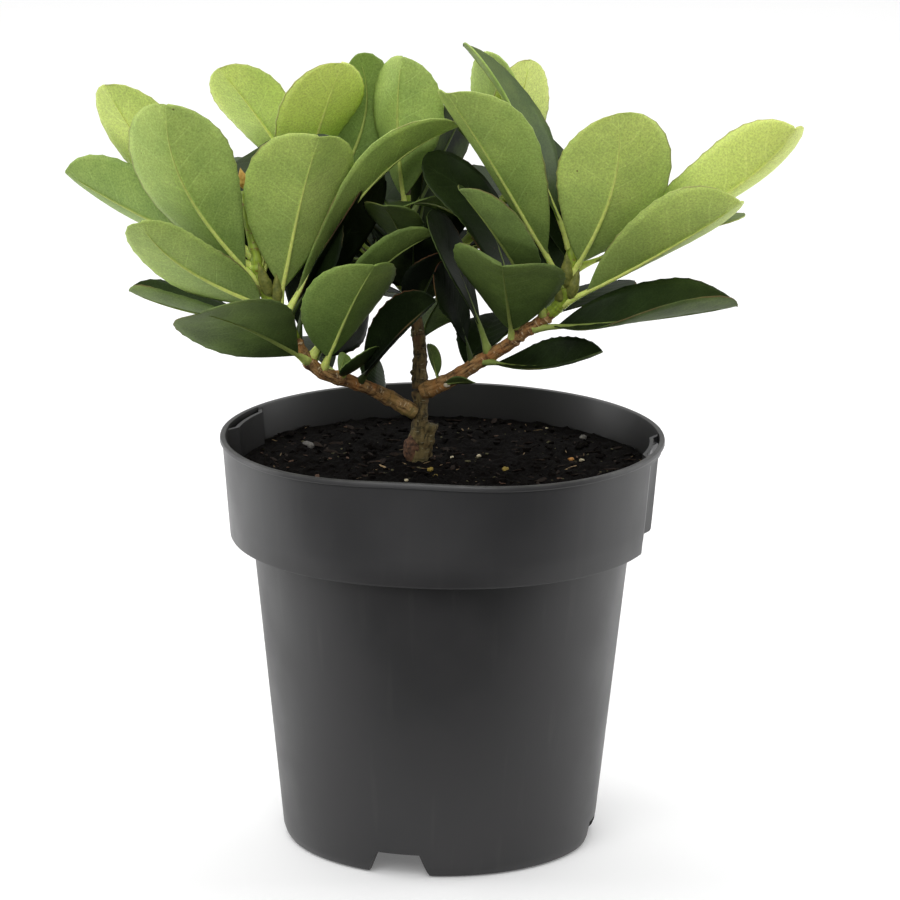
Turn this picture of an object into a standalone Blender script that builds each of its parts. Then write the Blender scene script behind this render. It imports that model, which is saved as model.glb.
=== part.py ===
"""A potted Indian hawthorn: a young evergreen shrub with leathery obovate leaves in a round nursery pot.

Units are metres in Blender; named sizes are in millimetres and degrees. The origin is on the pot's flat
underside, on its axis, with +Z up and the side seen in the picture towards -Y.
"""
import math
import random
import bpy
import bmesh
from mathutils import Matrix, Vector
from mathutils.bvhtree import BVHTree

MM = 0.001
GAP = 0.3

# Pot
POT_HEIGHT = 177.0
RIM_RADIUS = 95.0
COLLAR_HEIGHT = 44.0
COLLAR_FOOT_RADIUS = 90.4
BODY_TOP_RADIUS = 80.9
BASE_RADIUS = 66.9
WALL = 1.6
BEAD_HEIGHT = 2.5
BEAD_PROUD = 1.0
FLOOR_RAISE = 10.8
FLOOR_WALL = 2.0
FOOT_RING_WIDTH = 6.4
PAD_RADIUS = 12.0
POT_STEPS = 48
POCKET_TURNS = (-7.5, 161.5)
POCKET_HALF_TURN = 9.0
POCKET_SPREAD = 0.92
POCKET_DEPTH = 3.8
POCKET_SIDE = 1.9
LIP_BAND = 4.5
DENT_TURN = -98.5
DENT_SPREAD = 25.5
DENT_DEPTH = 11.3
DENT_AT_SHOULDER = 0.24
NOTCH_TURNS = (-105.0, -9.0, 75.0, 165.0)
NOTCH_FOOT_WIDTH = 27.0
NOTCH_TOP_WIDTH = 19.0
NOTCH_HEIGHT = 10.2
SHOULDER = POT_HEIGHT - COLLAR_HEIGHT

# Soil
SOIL_TOP = 162.2

# Limbs: points of each axis, and the radius at its two ends
TRUNK = [(-10.0, 10.0, SOIL_TOP + GAP), (-9.6, 11.0, 179.0), (-9.5, 11.5, 193.0)]
TRUNK_RADIUS = (3.9, 2.9)
FLARE_RADIUS = 5.2
LEFT_PATH = [(-12, 10, 184), (-20, 8, 189), (-29, 4, 195), (-37, 0, 199), (-43, -4, 202), (-50, -8, 205),
             (-56, -10, 210), (-60, -12, 216), (-63, -13, 222), (-68, -15, 231), (-77, -16, 245),
             (-79, -15, 257), (-82, -12, 270), (-84, -8, 284)]
RIGHT_PATH = [(-9, 11, 193), (3, 8, 199), (15, 3, 208), (27, -3, 217), (33, -6, 223), (40, -9, 228),
              (45, -11, 233), (48, -12, 236), (51, -13, 241), (53, -13, 249), (54, -12, 259), (55, -10, 268)]
CENTRE_PATH = [(-10, 12, 194), (-10, 15, 204), (-10, 18, 210), (-11, 21, 218), (-13, 25, 230),
               (-14, 29, 247), (-16, 32, 261), (-16, 34, 274)]
BACK_LEFT_PATH = [(-13, 25, 230), (-28, 36, 244), (-43, 46, 255), (-55, 52, 266), (-61, 55, 275)]
BACK_RIGHT_PATH = [(-13, 25, 230), (-2, 36, 242), (15, 48, 257), (25, 54, 268), (29, 56, 276)]
LEFT_BOUGH_END = 2
RIGHT_BOUGH_END = 1
CENTRE_BOUGH_END = 4
LIMB_SIDES = 8

# Leaves
LEAF_THICK_SHARE = 1 / 90
LEAF_THICK_MIN = 0.9
STALK_WIDTH = 2.2
STALK_THICK = 2.0
BLADE_STATIONS = (0.0, 0.15, 0.36, 0.58, 0.78, 0.93, 1.0)
OBOVATE = (1.0, 0.5)
OVAL = (0.85, 0.5)
ROUND = (0.75, 0.6)
BLUNT = (0.8, 0.3)
GOLDEN_ANGLE = 137.5
HIDDEN_WIDTH_SHARE = 0.46
CROWN_CENTRE = Vector((0.0, 20.0, 258.0))
CROWN_REACH = Vector((160.0, 135.0, 84.0))


def leaf(foot, turn, rise, roll, length, width, arch=0.03, sway=0.0, cup=10, stalk=0.12, outline=OBOVATE,
         twist=0):
    """One leaf: where on its stem it grows, where it points, how it is rolled, its size and its bends."""
    return dict(foot=foot, turn=turn, rise=rise, roll=roll, length=length, width=width, arch=arch, sway=sway,
                cup=cup, stalk=stalk, outline=outline, twist=twist)


LEFT_LEAVES = [
    leaf(10.9, 162, 46, 70, 98, 37, arch=0.02, sway=0.08, cup=15),
    leaf(9.9, -155, 62, 45, 93, 49, arch=-0.05, sway=0.08, cup=20),
    leaf(10.6, 156, 20, 55, 97, 40, arch=-0.01, sway=0.02, cup=25, stalk=0.1),
    leaf(9.2, -160, 32, 50, 76, 37, arch=-0.05, sway=0.07, cup=30),
    leaf(8.6, 173, 9, 35, 72, 30, arch=0, sway=0.09, cup=25),
    leaf(6.1, -134, 24, 55, 74, 53, arch=0.03, sway=-0.01, cup=15, outline=BLUNT, twist=46),
    leaf(9.2, -43, 73, -25, 82, 50, arch=0.04, sway=0, cup=20),
    leaf(8.9, 17, 46, -35, 111, 43, arch=0.1, sway=0, cup=15),
    leaf(8.8, 43, 43, 115, 78, 34, arch=0.03, sway=-0.06, cup=5),
    leaf(6.2, 5, 46, -30, 76, 31, arch=0.08, sway=0.01, cup=20),
    leaf(5.2, -47, 58, -5, 61, 47, arch=0.02, sway=0.01, cup=15, stalk=0.14, outline=OVAL),
    leaf(2.9, -33, 47, 55, 57, 27, arch=0.06, sway=0.03, cup=40, outline=OVAL),
    leaf(4.1, 41, 21, -60, 36, 16, arch=0.03, sway=0, cup=0, outline=OVAL),
    leaf(4.2, -57, 64, -65, 13, 7, arch=0.03, sway=0, cup=15, stalk=0.2, outline=OVAL),
    leaf(2.3, 116, 38, 25, 24, 16, arch=0.03, sway=0, cup=5, outline=OVAL),
    leaf(12.6, 79, 24, -35, 40, 34, arch=0.03, sway=0.04, cup=5, stalk=0.1),
    leaf(6.0, 62, 22, 100, 56, 32, arch=0.03, sway=-0.04, cup=10, outline=OVAL),
]
RIGHT_LEAVES = [
    leaf(8.3, -151, 57, 15, 107, 49, arch=0.02, sway=0.01, cup=25, stalk=0.18),
    leaf(8.7, -48, 70, -30, 82, 49, arch=-0.05, sway=-0.07, cup=10, stalk=0.14, outline=OVAL),
    leaf(9.7, -8, 33, -55, 111, 40, arch=0.02, sway=-0.12, cup=40, stalk=0.16),
    leaf(7.0, -20, 33, -30, 95, 49, arch=-0.02, sway=0, cup=25, stalk=0.16),
    leaf(9.3, 17, 15, -5, 80, 30, arch=0.03, sway=0, cup=0),
    leaf(4.5, -19, 11, 30, 93, 48, arch=0.05, sway=0.08, cup=25, stalk=0.14, twist=35),
    leaf(2.1, -29, 11, 25, 59, 25, arch=0.02, sway=0.14, cup=30, stalk=0.14),
    leaf(3.4, -97, 45, -10, 59, 51, arch=0.03, sway=0.01, cup=20, stalk=0.14, outline=BLUNT),
    leaf(5.6, -134, 50, -10, 82, 35, arch=0.01, sway=-0.04, cup=25, stalk=0.14),
    leaf(10.0, 146, 56, 10, 100, 45, arch=0.06, sway=-0.01, cup=15, stalk=0.14, twist=-17),
    leaf(9.3, 102, 41, 45, 71, 34, arch=0.03, sway=-0.06, cup=5),
    leaf(3.9, -179, 60, -25, 84, 36, arch=0.08, sway=0.14, cup=0),
    leaf(2.4, -158, 65, -35, 69, 30, arch=0.03, sway=0.04, cup=5, stalk=0.2),
    leaf(1.8, -154, 66, -45, 46, 28, arch=0.03, sway=0.08, cup=5, stalk=0.2),
    leaf(1.4, 62, 30, -10, 40, 28, arch=0.03, sway=0.04, cup=10, outline=OVAL),
    leaf(5.6, 54, 7, -5, 64, 30, arch=0.03, sway=0.06, cup=0, outline=OVAL),
]
CENTRE_LEAVES = [
    leaf(5.5, 127, 86, 110, 80, 39, arch=-0.02, sway=0.03, cup=25, stalk=0.25, outline=OVAL),
    leaf(6.0, 63, 38, -90, 72, 34, arch=0.03, sway=-0.04, cup=0, stalk=0.2),
    leaf(4.9, 77, 50, -110, 66, 32, arch=0.03, sway=-0.04, cup=0, stalk=0.2),
]
BACK_LEFT_LEAVES = [
    leaf(2.7, 9, 76, -40, 69, 34, arch=0.04, sway=-0.03, cup=5),
    leaf(4.0, -163, 54, 40, 64, 37, arch=0, sway=-0.02, cup=10, stalk=0.1, outline=OVAL),
    leaf(4.0, -64, 57, 10, 70, 44, arch=-0.05, sway=0.06, cup=10, stalk=0.1, outline=OVAL),
]
BACK_RIGHT_LEAVES = [
    leaf(3.4, -142, 79, -5, 64, 42, arch=0.03, sway=-0.04, cup=0, stalk=0.1, outline=OVAL),
    leaf(3.7, 23, 81, -60, 56, 40, arch=0, sway=0.02, cup=0, stalk=0.1, outline=OVAL),
]


def clear_scene():
    for obj in list(bpy.data.objects):
        bpy.data.objects.remove(obj, do_unlink=True)


def new_collection(name):
    collection = bpy.data.collections.new(name)
    bpy.context.scene.collection.children.link(collection)
    return collection


def new_material(name, colour, roughness):
    material = bpy.data.materials.new(name)
    material.use_nodes = True
    shader = material.node_tree.nodes["Principled BSDF"]
    linear = [c / 12.92 if c <= 0.04045 else ((c + 0.055) / 1.055) ** 2.4 for c in colour]
    shader.inputs["Base Color"].default_value = (*linear, 1.0)
    shader.inputs["Roughness"].default_value = roughness
    shader.inputs["Metallic"].default_value = 0.0
    return material


def add_object(name, bm, collection, material=None):
    """A mesh object from bmesh, with its normals outward."""
    bmesh.ops.recalc_face_normals(bm, faces=bm.faces)
    mesh = bpy.data.meshes.new(name)
    bm.to_mesh(mesh)
    bm.free()
    obj = bpy.data.objects.new(name, mesh)
    if material is not None:
        mesh.materials.append(material)
    collection.objects.link(obj)
    return obj


def remove_object(obj):
    mesh = obj.data
    bpy.data.objects.remove(obj, do_unlink=True)
    bpy.data.meshes.remove(mesh)


def make_cutter(obj):
    obj.hide_render = True
    obj.display_type = "WIRE"
    return obj


def boolean(obj, operation, other):
    """A live EXACT Boolean with one object."""
    modifier = obj.modifiers.new(operation.title() + " " + other.name, "BOOLEAN")
    modifier.operation = operation
    modifier.solver = "EXACT"
    modifier.object = other


def apply_modifiers(obj):
    """Replace the object's mesh by its evaluated one, cleaned of loose scraps and sealed hollows."""
    bpy.context.view_layer.update()
    evaluated = obj.evaluated_get(bpy.context.evaluated_depsgraph_get())
    mesh = bpy.data.meshes.new_from_object(evaluated)
    obj.modifiers.clear()
    old = obj.data
    name = old.name
    obj.data = mesh
    bpy.data.meshes.remove(old)
    mesh.name = name
    bm = bmesh.new()
    bm.from_mesh(mesh)
    bmesh.ops.triangulate(bm, faces=bm.faces)
    keep_main_body(bm)
    bm.to_mesh(mesh)
    bm.free()


def keep_main_body(bm):
    """Delete every connected shell except the largest one."""
    islands = []
    left = set(bm.faces)
    while left:
        seed = left.pop()
        island = {seed}
        stack = [seed]
        while stack:
            face = stack.pop()
            for edge in face.edges:
                for other in edge.link_faces:
                    if other in left:
                        left.discard(other)
                        island.add(other)
                        stack.append(other)
        islands.append(island)
    main = max(islands, key=len)
    scraps = [face for island in islands if island is not main for face in island]
    if scraps:
        bmesh.ops.delete(bm, geom=scraps, context="FACES")
    loose = [vert for vert in bm.verts if not vert.link_faces]
    bmesh.ops.delete(bm, geom=loose, context="VERTS")


def loft(bm, rings):
    """Skin a row of rings of equal count, with a flat cap at each end."""
    rows = [[bm.verts.new(Vector(point) * MM) for point in ring] for ring in rings]
    count = len(rows[0])
    for low, high in zip(rows, rows[1:]):
        for i in range(count):
            j = (i + 1) % count
            bm.faces.new((low[i], low[j], high[j], high[i]))
    bm.faces.new(rows[0])
    bm.faces.new(rows[-1])


def along(path, place):
    """The point at a place such as 3.4, four tenths of the way from point 3 to point 4."""
    index = min(int(place), len(path) - 2)
    start = Vector(path[index])
    return start + (Vector(path[index + 1]) - start) * (place - index)


def limb_rings(path, start, end, radii, grow=0.0):
    """Rings along a part of a path, each square to it, tapering from radii[0] to radii[1]."""
    places = [start] + [i for i in range(len(path)) if start + 0.15 < i < end - 0.15] + [end]
    points = [along(path, place) for place in places]
    side = Vector((0.0, 1.0, 0.0))
    rings = []
    for i, point in enumerate(points):
        before = points[max(i - 1, 0)]
        after = points[min(i + 1, len(points) - 1)]
        axis = (after - before).normalized()
        side = (side - axis * side.dot(axis)).normalized()
        other = axis.cross(side)
        share = places[i] / (len(path) - 1)
        radius = radii[0] + (radii[1] - radii[0]) * share + grow
        rings.append([point + (side * math.cos(a) + other * math.sin(a)) * radius
                      for a in (math.tau * k / LIMB_SIDES for k in range(LIMB_SIDES))])
    return rings


def bend(t):
    """Height of a leaf's bow at a share t of its length, fullest just past the middle."""
    return 4 * t * (1 - t) * (0.6 + 0.8 * t)


def blade_width(t, outline):
    """Share of a blade's full width at a share t of its length."""
    if t <= 0 or t >= 1:
        return 0.0
    low, high = outline
    widest = low / (low + high)
    return (t / widest) ** low * ((1 - t) / (1 - widest)) ** high


def leaf_rings(base, spec, fatten=0.0):
    """Six-sided rings from the foot of the stalk to the tip: left, middle and right on both faces."""
    turn = math.radians(spec["turn"])
    rise = math.radians(spec["rise"])
    roll = math.radians(spec["roll"])
    heading = Vector((math.cos(rise) * math.cos(turn), math.cos(rise) * math.sin(turn), math.sin(rise)))
    level = heading.cross(Vector((0, 0, 1))).normalized()
    upright = level.cross(heading)
    up = upright * math.cos(roll) + level * math.sin(roll)
    side = heading.cross(up)
    length = spec["length"]
    thick = max(LEAF_THICK_MIN, length * LEAF_THICK_SHARE)
    places = [0.0] + [spec["stalk"] + (1 - spec["stalk"]) * q for q in BLADE_STATIONS]
    rings = []
    for t in places:
        step = 0.001
        slope = (bend(t + step) - bend(t - step)) / (2 * step)
        point = base + (heading * t + (up * spec["arch"] + side * spec["sway"]) * bend(t)) * length
        forward = (heading + (up * spec["arch"] + side * spec["sway"]) * slope).normalized()
        face = (up - forward * up.dot(forward)).normalized()
        across = forward.cross(face)
        q = max(0.0, (t - spec["stalk"]) / (1 - spec["stalk"]))
        twist = math.radians(spec["twist"]) * q
        across, face = (across * math.cos(twist) + face * math.sin(twist),
                        face * math.cos(twist) - across * math.sin(twist))
        blade = blade_width(q, spec["outline"]) * spec["width"] / 2
        half = max(blade, STALK_WIDTH / 2 if q < 0.5 else 1.2) + fatten
        fold = math.radians(spec["cup"]) if q > 0 else 0.0
        deep = (STALK_THICK if q == 0 else thick) / 2 + fatten
        out = across * half * math.cos(fold)
        lift = face * half * math.sin(fold)
        edge = deep * 0.7
        rings.append([point - out + lift + face * edge, point + face * deep, point + out + lift + face * edge,
                      point + out + lift - face * edge, point - face * deep, point - out + lift - face * edge])
    return rings


def mesh_tree(rings):
    bm = bmesh.new()
    loft(bm, rings)
    bmesh.ops.triangulate(bm, faces=bm.faces)
    tree = BVHTree.FromBMesh(bm)
    bm.free()
    return tree


def object_tree(obj):
    bm = bmesh.new()
    bm.from_mesh(obj.data)
    tree = BVHTree.FromBMesh(bm)
    bm.free()
    return tree


def hidden_leaves(seed, path, places, start, count, lean, sizes, sweep, keep):
    """Leaves of the side away from the picture, set out by the golden angle and a seeded spread.

    Only the numbers in keep grow, so that none of them shows in a gap of the crown.
    """
    rng = random.Random(seed)
    rows = []
    for i in range(count):
        share = i / (count - 1)
        place = places[0] + (places[1] - places[0]) * share
        swing = (i * GOLDEN_ANGLE) % sweep - sweep / 2
        length = sizes[0] + (sizes[1] - sizes[0]) * rng.random()
        rise = lean[0] + (lean[1] - lean[0]) * share
        rows.append(leaf(round(place, 2), start + swing, rise, rng.uniform(-20, 20), length,
                         length * HIDDEN_WIDTH_SHARE, arch=rng.uniform(0.02, 0.09), cup=10))
    return [rows[i] for i in keep]


def inside_crown(point):
    offset = point - CROWN_CENTRE
    return sum((offset[k] / CROWN_REACH[k]) ** 2 for k in range(3)) < 1.0


def build_pot(collection, cutters, material):
    """Lathed wall with a stepped collar and a beaded rim, two label pockets and four drain notches."""
    rise = BODY_TOP_RADIUS - BASE_RADIUS
    foot_inner = BASE_RADIUS - FOOT_RING_WIDTH
    floor_top = FLOOR_RAISE + FLOOR_WALL
    collar_top = RIM_RADIUS - BEAD_PROUD
    bead_foot = POT_HEIGHT - BEAD_HEIGHT
    profile = [
        (0.0, floor_top),
        (BASE_RADIUS - 4.0, floor_top),
        (BASE_RADIUS + rise * floor_top / SHOULDER - WALL, floor_top + 3.0),
        (BODY_TOP_RADIUS - WALL, SHOULDER),
        (BODY_TOP_RADIUS - WALL, SHOULDER + WALL),
        (COLLAR_FOOT_RADIUS - WALL, SHOULDER + WALL),
        (collar_top - WALL, POT_HEIGHT - 1.0),
        (collar_top - WALL + 0.6, POT_HEIGHT),
        (RIM_RADIUS - 0.7, POT_HEIGHT),
        (RIM_RADIUS, POT_HEIGHT - 0.7),
        (RIM_RADIUS, bead_foot + 0.5),
        (collar_top, bead_foot),
        (COLLAR_FOOT_RADIUS, SHOULDER + 0.6),
        (COLLAR_FOOT_RADIUS - 0.6, SHOULDER),
        (BODY_TOP_RADIUS, SHOULDER),
        (BASE_RADIUS + rise * 4.0 / SHOULDER, 4.0),
        (BASE_RADIUS - 0.8, 1.2),
        (BASE_RADIUS - 3.0, 0.0),
        (foot_inner, 0.0),
        (foot_inner, FLOOR_RAISE),
        (PAD_RADIUS, FLOOR_RAISE),
        (PAD_RADIUS, 0.0),
        (0.0, 0.0),
    ]
    pot = lathe("pot", profile, collection, material)
    panel = COLLAR_FOOT_RADIUS - POCKET_DEPTH
    inner = COLLAR_FOOT_RADIUS - WALL
    for i, turn in enumerate(POCKET_TURNS):
        boss = block(f"pocket_wall_{i}", (panel - WALL, inner + WALL / 2), POCKET_SIDE,
                     (SHOULDER + WALL / 2, POT_HEIGHT - 1.3), turn, cutters)
        slot = block(f"pocket_{i}", (panel, COLLAR_FOOT_RADIUS + 5.0), 0.0,
                     (SHOULDER - 3.0, POT_HEIGHT - LIP_BAND), turn, cutters)
        mouth = block(f"pocket_mouth_{i}", (panel, inner + 0.4), 0.0,
                      (POT_HEIGHT - LIP_BAND - 1.5, POT_HEIGHT + 1.0), turn, cutters)
        boolean(pot, "UNION", boss)
        boolean(pot, "DIFFERENCE", slot)
        boolean(pot, "DIFFERENCE", mouth)
    for i, turn in enumerate(NOTCH_TURNS):
        notch = drain_notch(f"notch_{i}", foot_inner - 3.0, BASE_RADIUS + 5.0, turn, cutters)
        boolean(pot, "DIFFERENCE", notch)
    return pot


def build_soil(collection, cutters, material):
    """The mix that fills the pot, a gap clear of its wall, with room for the two pockets."""
    rise = BODY_TOP_RADIUS - BASE_RADIUS
    floor = FLOOR_RAISE + FLOOR_WALL + GAP
    slope = (RIM_RADIUS - BEAD_PROUD - COLLAR_FOOT_RADIUS) / COLLAR_HEIGHT
    inner = COLLAR_FOOT_RADIUS - WALL - GAP
    profile = [
        (0.0, SOIL_TOP),
        (inner + slope * (SOIL_TOP - SHOULDER - WALL) - 0.1, SOIL_TOP),
        (inner - 0.1, SHOULDER + WALL + GAP),
        (BODY_TOP_RADIUS - WALL - GAP, SHOULDER + WALL + GAP),
        (BODY_TOP_RADIUS - WALL - GAP, SHOULDER),
        (BASE_RADIUS + rise * floor / SHOULDER - WALL - GAP, floor + 3.0),
        (BASE_RADIUS - 4.0 - GAP, floor),
        (0.0, floor),
    ]
    soil = lathe("soil", profile, collection, material)
    panel = COLLAR_FOOT_RADIUS - POCKET_DEPTH - WALL - GAP
    for i, turn in enumerate(POCKET_TURNS):
        room = block(f"pocket_room_{i}", (panel, COLLAR_FOOT_RADIUS + 5.0), POCKET_SIDE + 2 * GAP,
                     (SHOULDER - 2.0, POT_HEIGHT), turn, cutters)
        boolean(soil, "DIFFERENCE", room)
    return soil


def dented(point):
    """Where a point of the pot or mix goes where the front of the rim is pressed in, fading down the wall."""
    away = (math.degrees(math.atan2(point.y, point.x)) - DENT_TURN + 180.0) % 360.0 - 180.0
    if point.z > SHOULDER:
        share = DENT_AT_SHOULDER + (1 - DENT_AT_SHOULDER) * (point.z - SHOULDER) / COLLAR_HEIGHT
    else:
        share = DENT_AT_SHOULDER * point.z / SHOULDER
    scale = 1 - DENT_DEPTH / RIM_RADIUS * share * math.exp(-(away / DENT_SPREAD) ** 2)
    return Vector((point.x * scale, point.y * scale, point.z))


def lathe(name, profile, collection, material):
    """Spin a profile of radii and heights about the Z axis, with the dent pressed in."""
    bm = bmesh.new()
    verts = [bm.verts.new(Vector((r, 0.0, z))) for r, z in profile]
    edges = [bm.edges.new(pair) for pair in zip(verts, verts[1:])]
    bmesh.ops.spin(bm, geom=verts + edges, cent=(0, 0, 0), axis=(0, 0, 1), angle=math.tau, steps=POT_STEPS,
                   use_merge=True)
    bmesh.ops.remove_doubles(bm, verts=bm.verts, dist=0.01)
    for vert in bm.verts:
        vert.co = dented(vert.co) * MM
    bmesh.ops.triangulate(bm, faces=bm.faces)
    return add_object(name, bm, collection, material)


def block(name, reach, shift, heights, turn, collection):
    """A curved block about the axis that leans with the collar and spreads outward as the pockets do.

    Reach holds the radii of its inner and outer face at the shoulder; shift makes it wider all round.
    """
    lean = (RIM_RADIUS - BEAD_PROUD - COLLAR_FOOT_RADIUS) / COLLAR_HEIGHT
    bm = bmesh.new()
    bmesh.ops.create_cube(bm, size=1.0)
    across = [edge for edge in bm.edges if abs(edge.verts[0].co.y - edge.verts[1].co.y) > 0.5]
    bmesh.ops.subdivide_edges(bm, edges=across, cuts=3, use_grid_fill=True)
    for vert in bm.verts:
        foot = reach[1] if vert.co.x > 0 else reach[0]
        half = POCKET_HALF_TURN + POCKET_SPREAD * (foot + shift - COLLAR_FOOT_RADIUS + POCKET_DEPTH)
        angle = math.radians(turn + 2 * vert.co.y * half)
        z = heights[1] if vert.co.z > 0 else heights[0]
        radius = foot + lean * (z - SHOULDER)
        vert.co = Vector((radius * math.cos(angle), radius * math.sin(angle), z)) * MM
    bmesh.ops.triangulate(bm, faces=bm.faces)
    return make_cutter(add_object(name, bm, collection))


def drain_notch(name, inner, outer, turn, collection):
    """A block whose top is narrower than its foot, through the foot ring."""
    bm = bmesh.new()
    bmesh.ops.create_cube(bm, size=1.0)
    for vert in bm.verts:
        top = vert.co.z > 0
        width = NOTCH_TOP_WIDTH if top else NOTCH_FOOT_WIDTH + 1.0
        vert.co = Vector((outer if vert.co.x > 0 else inner, math.copysign(width / 2, vert.co.y),
                          NOTCH_HEIGHT if top else -1.0)) * MM
    bmesh.ops.rotate(bm, cent=(0, 0, 0), matrix=Matrix.Rotation(math.radians(turn), 3, "Z"), verts=bm.verts)
    return make_cutter(add_object(name, bm, collection))


def build_trunk(collection, cutters, material):
    """Short tapering trunk with its root flare, a burl at its left foot and a cut stub leaning right."""
    bm = bmesh.new()
    rings = limb_rings(TRUNK, 0, 2, TRUNK_RADIUS)
    centre = Vector(TRUNK[0])
    flare = [centre + (Vector((p.x, p.y, centre.z)) - centre).normalized() * FLARE_RADIUS for p in rings[0]]
    waist = [Vector((p.x, p.y, p.z + 3.5)) for p in rings[0]]
    loft(bm, [flare, waist] + rings[1:])
    trunk = add_object("trunk", bm, collection, material)
    bm = bmesh.new()
    bmesh.ops.create_icosphere(bm, subdivisions=2, radius=1.0)
    bmesh.ops.scale(bm, vec=Vector((5.6, 4.6, 4.6)) * MM, verts=bm.verts)
    bmesh.ops.translate(bm, vec=Vector((-12.0, 10.0, SOIL_TOP + 7.0)) * MM, verts=bm.verts)
    burl = make_cutter(add_object("burl", bm, cutters))
    bm = bmesh.new()
    loft(bm, limb_rings([(-8.0, 9.5, SOIL_TOP + 3.5), (-4.5, 8.5, SOIL_TOP + 17.0)], 0, 1, (2.6, 2.1)))
    stub = make_cutter(add_object("stub", bm, cutters))
    boolean(trunk, "UNION", burl)
    boolean(trunk, "UNION", stub)
    return trunk


def build_limb(name, path, start, end, radii, collection, material, clearance=None):
    bm = bmesh.new()
    loft(bm, limb_rings(path, start, end, radii))
    limb = add_object(name, bm, collection, material)
    if clearance is not None:
        boolean(limb, "DIFFERENCE", clearance)
    return limb


def build_mass(name, path, start, end, radii, leaves, taken, collection, material, clearance=None):
    """One mass of foliage: a stem with its leaves fused on, clear of every solid already made."""
    bm = bmesh.new()
    loft(bm, limb_rings(path, start, end, radii))
    stem = add_object(name, bm, collection, material)
    if clearance is not None:
        boolean(stem, "DIFFERENCE", clearance)
        apply_modifiers(stem)
    blades = new_collection(name + "_leaves")
    for i, spec in enumerate(leaves):
        base = along(path, spec["foot"])
        if spec.get("hidden") and not inside_crown(base + leaf_reach(spec)):
            continue
        tree = mesh_tree(leaf_rings(base, spec, fatten=GAP))
        if any(tree.overlap(other) for other in taken):
            continue
        bm = bmesh.new()
        loft(bm, leaf_rings(base, spec))
        bmesh.ops.triangulate(bm, faces=bm.faces)
        add_object(f"{name}_leaf_{i}", bm, blades)
    join = stem.modifiers.new("Join leaves", "BOOLEAN")
    join.operation = "UNION"
    join.solver = "EXACT"
    join.operand_type = "COLLECTION"
    join.use_self = True
    join.collection = blades
    apply_modifiers(stem)
    for obj in list(blades.objects):
        remove_object(obj)
    bpy.data.collections.remove(blades)
    return stem


def leaf_reach(spec):
    turn = math.radians(spec["turn"])
    rise = math.radians(spec["rise"])
    return Vector((math.cos(rise) * math.cos(turn), math.cos(rise) * math.sin(turn), math.sin(rise))) * spec["length"]


def mark_hidden(rows):
    for row in rows:
        row["hidden"] = True
    return rows


def main():
    clear_scene()
    parts = new_collection("potted_indian_hawthorn")
    cutters = new_collection("cutters")
    plastic = new_material("pot_plastic", (0.23, 0.23, 0.24), 0.55)
    compost = new_material("potting_mix", (0.16, 0.12, 0.10), 0.95)
    bark = new_material("bark", (0.36, 0.25, 0.20), 0.85)
    leaf_green = new_material("leaf_green", (0.30, 0.40, 0.20), 0.45)
    build_pot(parts, cutters, plastic)
    build_soil(parts, cutters, compost)
    trunk = build_trunk(parts, cutters, bark)
    apply_modifiers(trunk)

    bm = bmesh.new()
    loft(bm, limb_rings(TRUNK, 0, 2, TRUNK_RADIUS, grow=GAP))
    trunk_room = make_cutter(add_object("trunk_room", bm, cutters))
    bm = bmesh.new()
    loft(bm, limb_rings(CENTRE_PATH, 0, 7, (2.8, 1.5), grow=GAP))
    centre_room = make_cutter(add_object("centre_room", bm, cutters))

    left = build_limb("left_bough", LEFT_PATH, 0, LEFT_BOUGH_END, (2.4, 1.6), parts, bark, trunk_room)
    right = build_limb("right_bough", RIGHT_PATH, 0, RIGHT_BOUGH_END, (2.4, 1.8), parts, bark, trunk_room)
    boolean(right, "DIFFERENCE", centre_room)
    centre = build_limb("centre_bough", CENTRE_PATH, 0.06, CENTRE_BOUGH_END, (2.8, 1.5), parts, bark)
    for limb in (left, right, centre):
        apply_modifiers(limb)

    taken = [object_tree(obj) for obj in (trunk, left, right, centre)]
    plans = [
        ("left_foliage", LEFT_PATH, LEFT_BOUGH_END + 0.04, 13, (2.4, 1.6), LEFT_LEAVES, None,
         hidden_leaves(2, LEFT_PATH, (4.0, 12.0), 52, 24, (5, 60), (50, 70), 150,
                       (1, 18, 19, 21))),
        ("right_foliage", RIGHT_PATH, RIGHT_BOUGH_END + 0.03, 11, (2.4, 1.8), RIGHT_LEAVES, None,
         hidden_leaves(24, RIGHT_PATH, (2.4, 10.6), 56, 24, (5, 60), (50, 70), 150,
                       (3, 4, 18, 19, 20, 21, 23))),
        ("centre_foliage", CENTRE_PATH, CENTRE_BOUGH_END + 0.04, 7, (2.8, 1.5), CENTRE_LEAVES, None,
         hidden_leaves(58, CENTRE_PATH, (4.2, 6.9), 200, 20, (20, 70), (45, 70), 220,
                       (5, 6))),
        ("back_left_foliage", BACK_LEFT_PATH, 0, 4, (1.9, 1.4), BACK_LEFT_LEAVES, centre_room,
         hidden_leaves(20, BACK_LEFT_PATH, (0.8, 3.8), 180, 24, (5, 45), (50, 70), 240,
                       (1, 2, 4, 6, 7, 8, 9, 10, 11, 13, 16, 19, 21))),
        ("back_right_foliage", BACK_RIGHT_PATH, 0, 4, (1.9, 1.4), BACK_RIGHT_LEAVES, centre_room,
         hidden_leaves(26, BACK_RIGHT_PATH, (1.2, 3.9), -8, 24, (5, 45), (50, 70), 240,
                       (1, 3, 5, 7, 8, 10, 15, 19, 21))),
    ]
    stems = {plan[0]: mesh_tree(limb_rings(*plan[1:5], grow=GAP)) for plan in plans}
    for name, path, start, end, radii, seen, clearance, hidden in plans:
        del stems[name]
        mass = build_mass(name, path, start, end, radii, seen + mark_hidden(hidden),
                          taken + list(stems.values()), parts, leaf_green, clearance)
        taken.append(object_tree(mass))


main()
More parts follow.
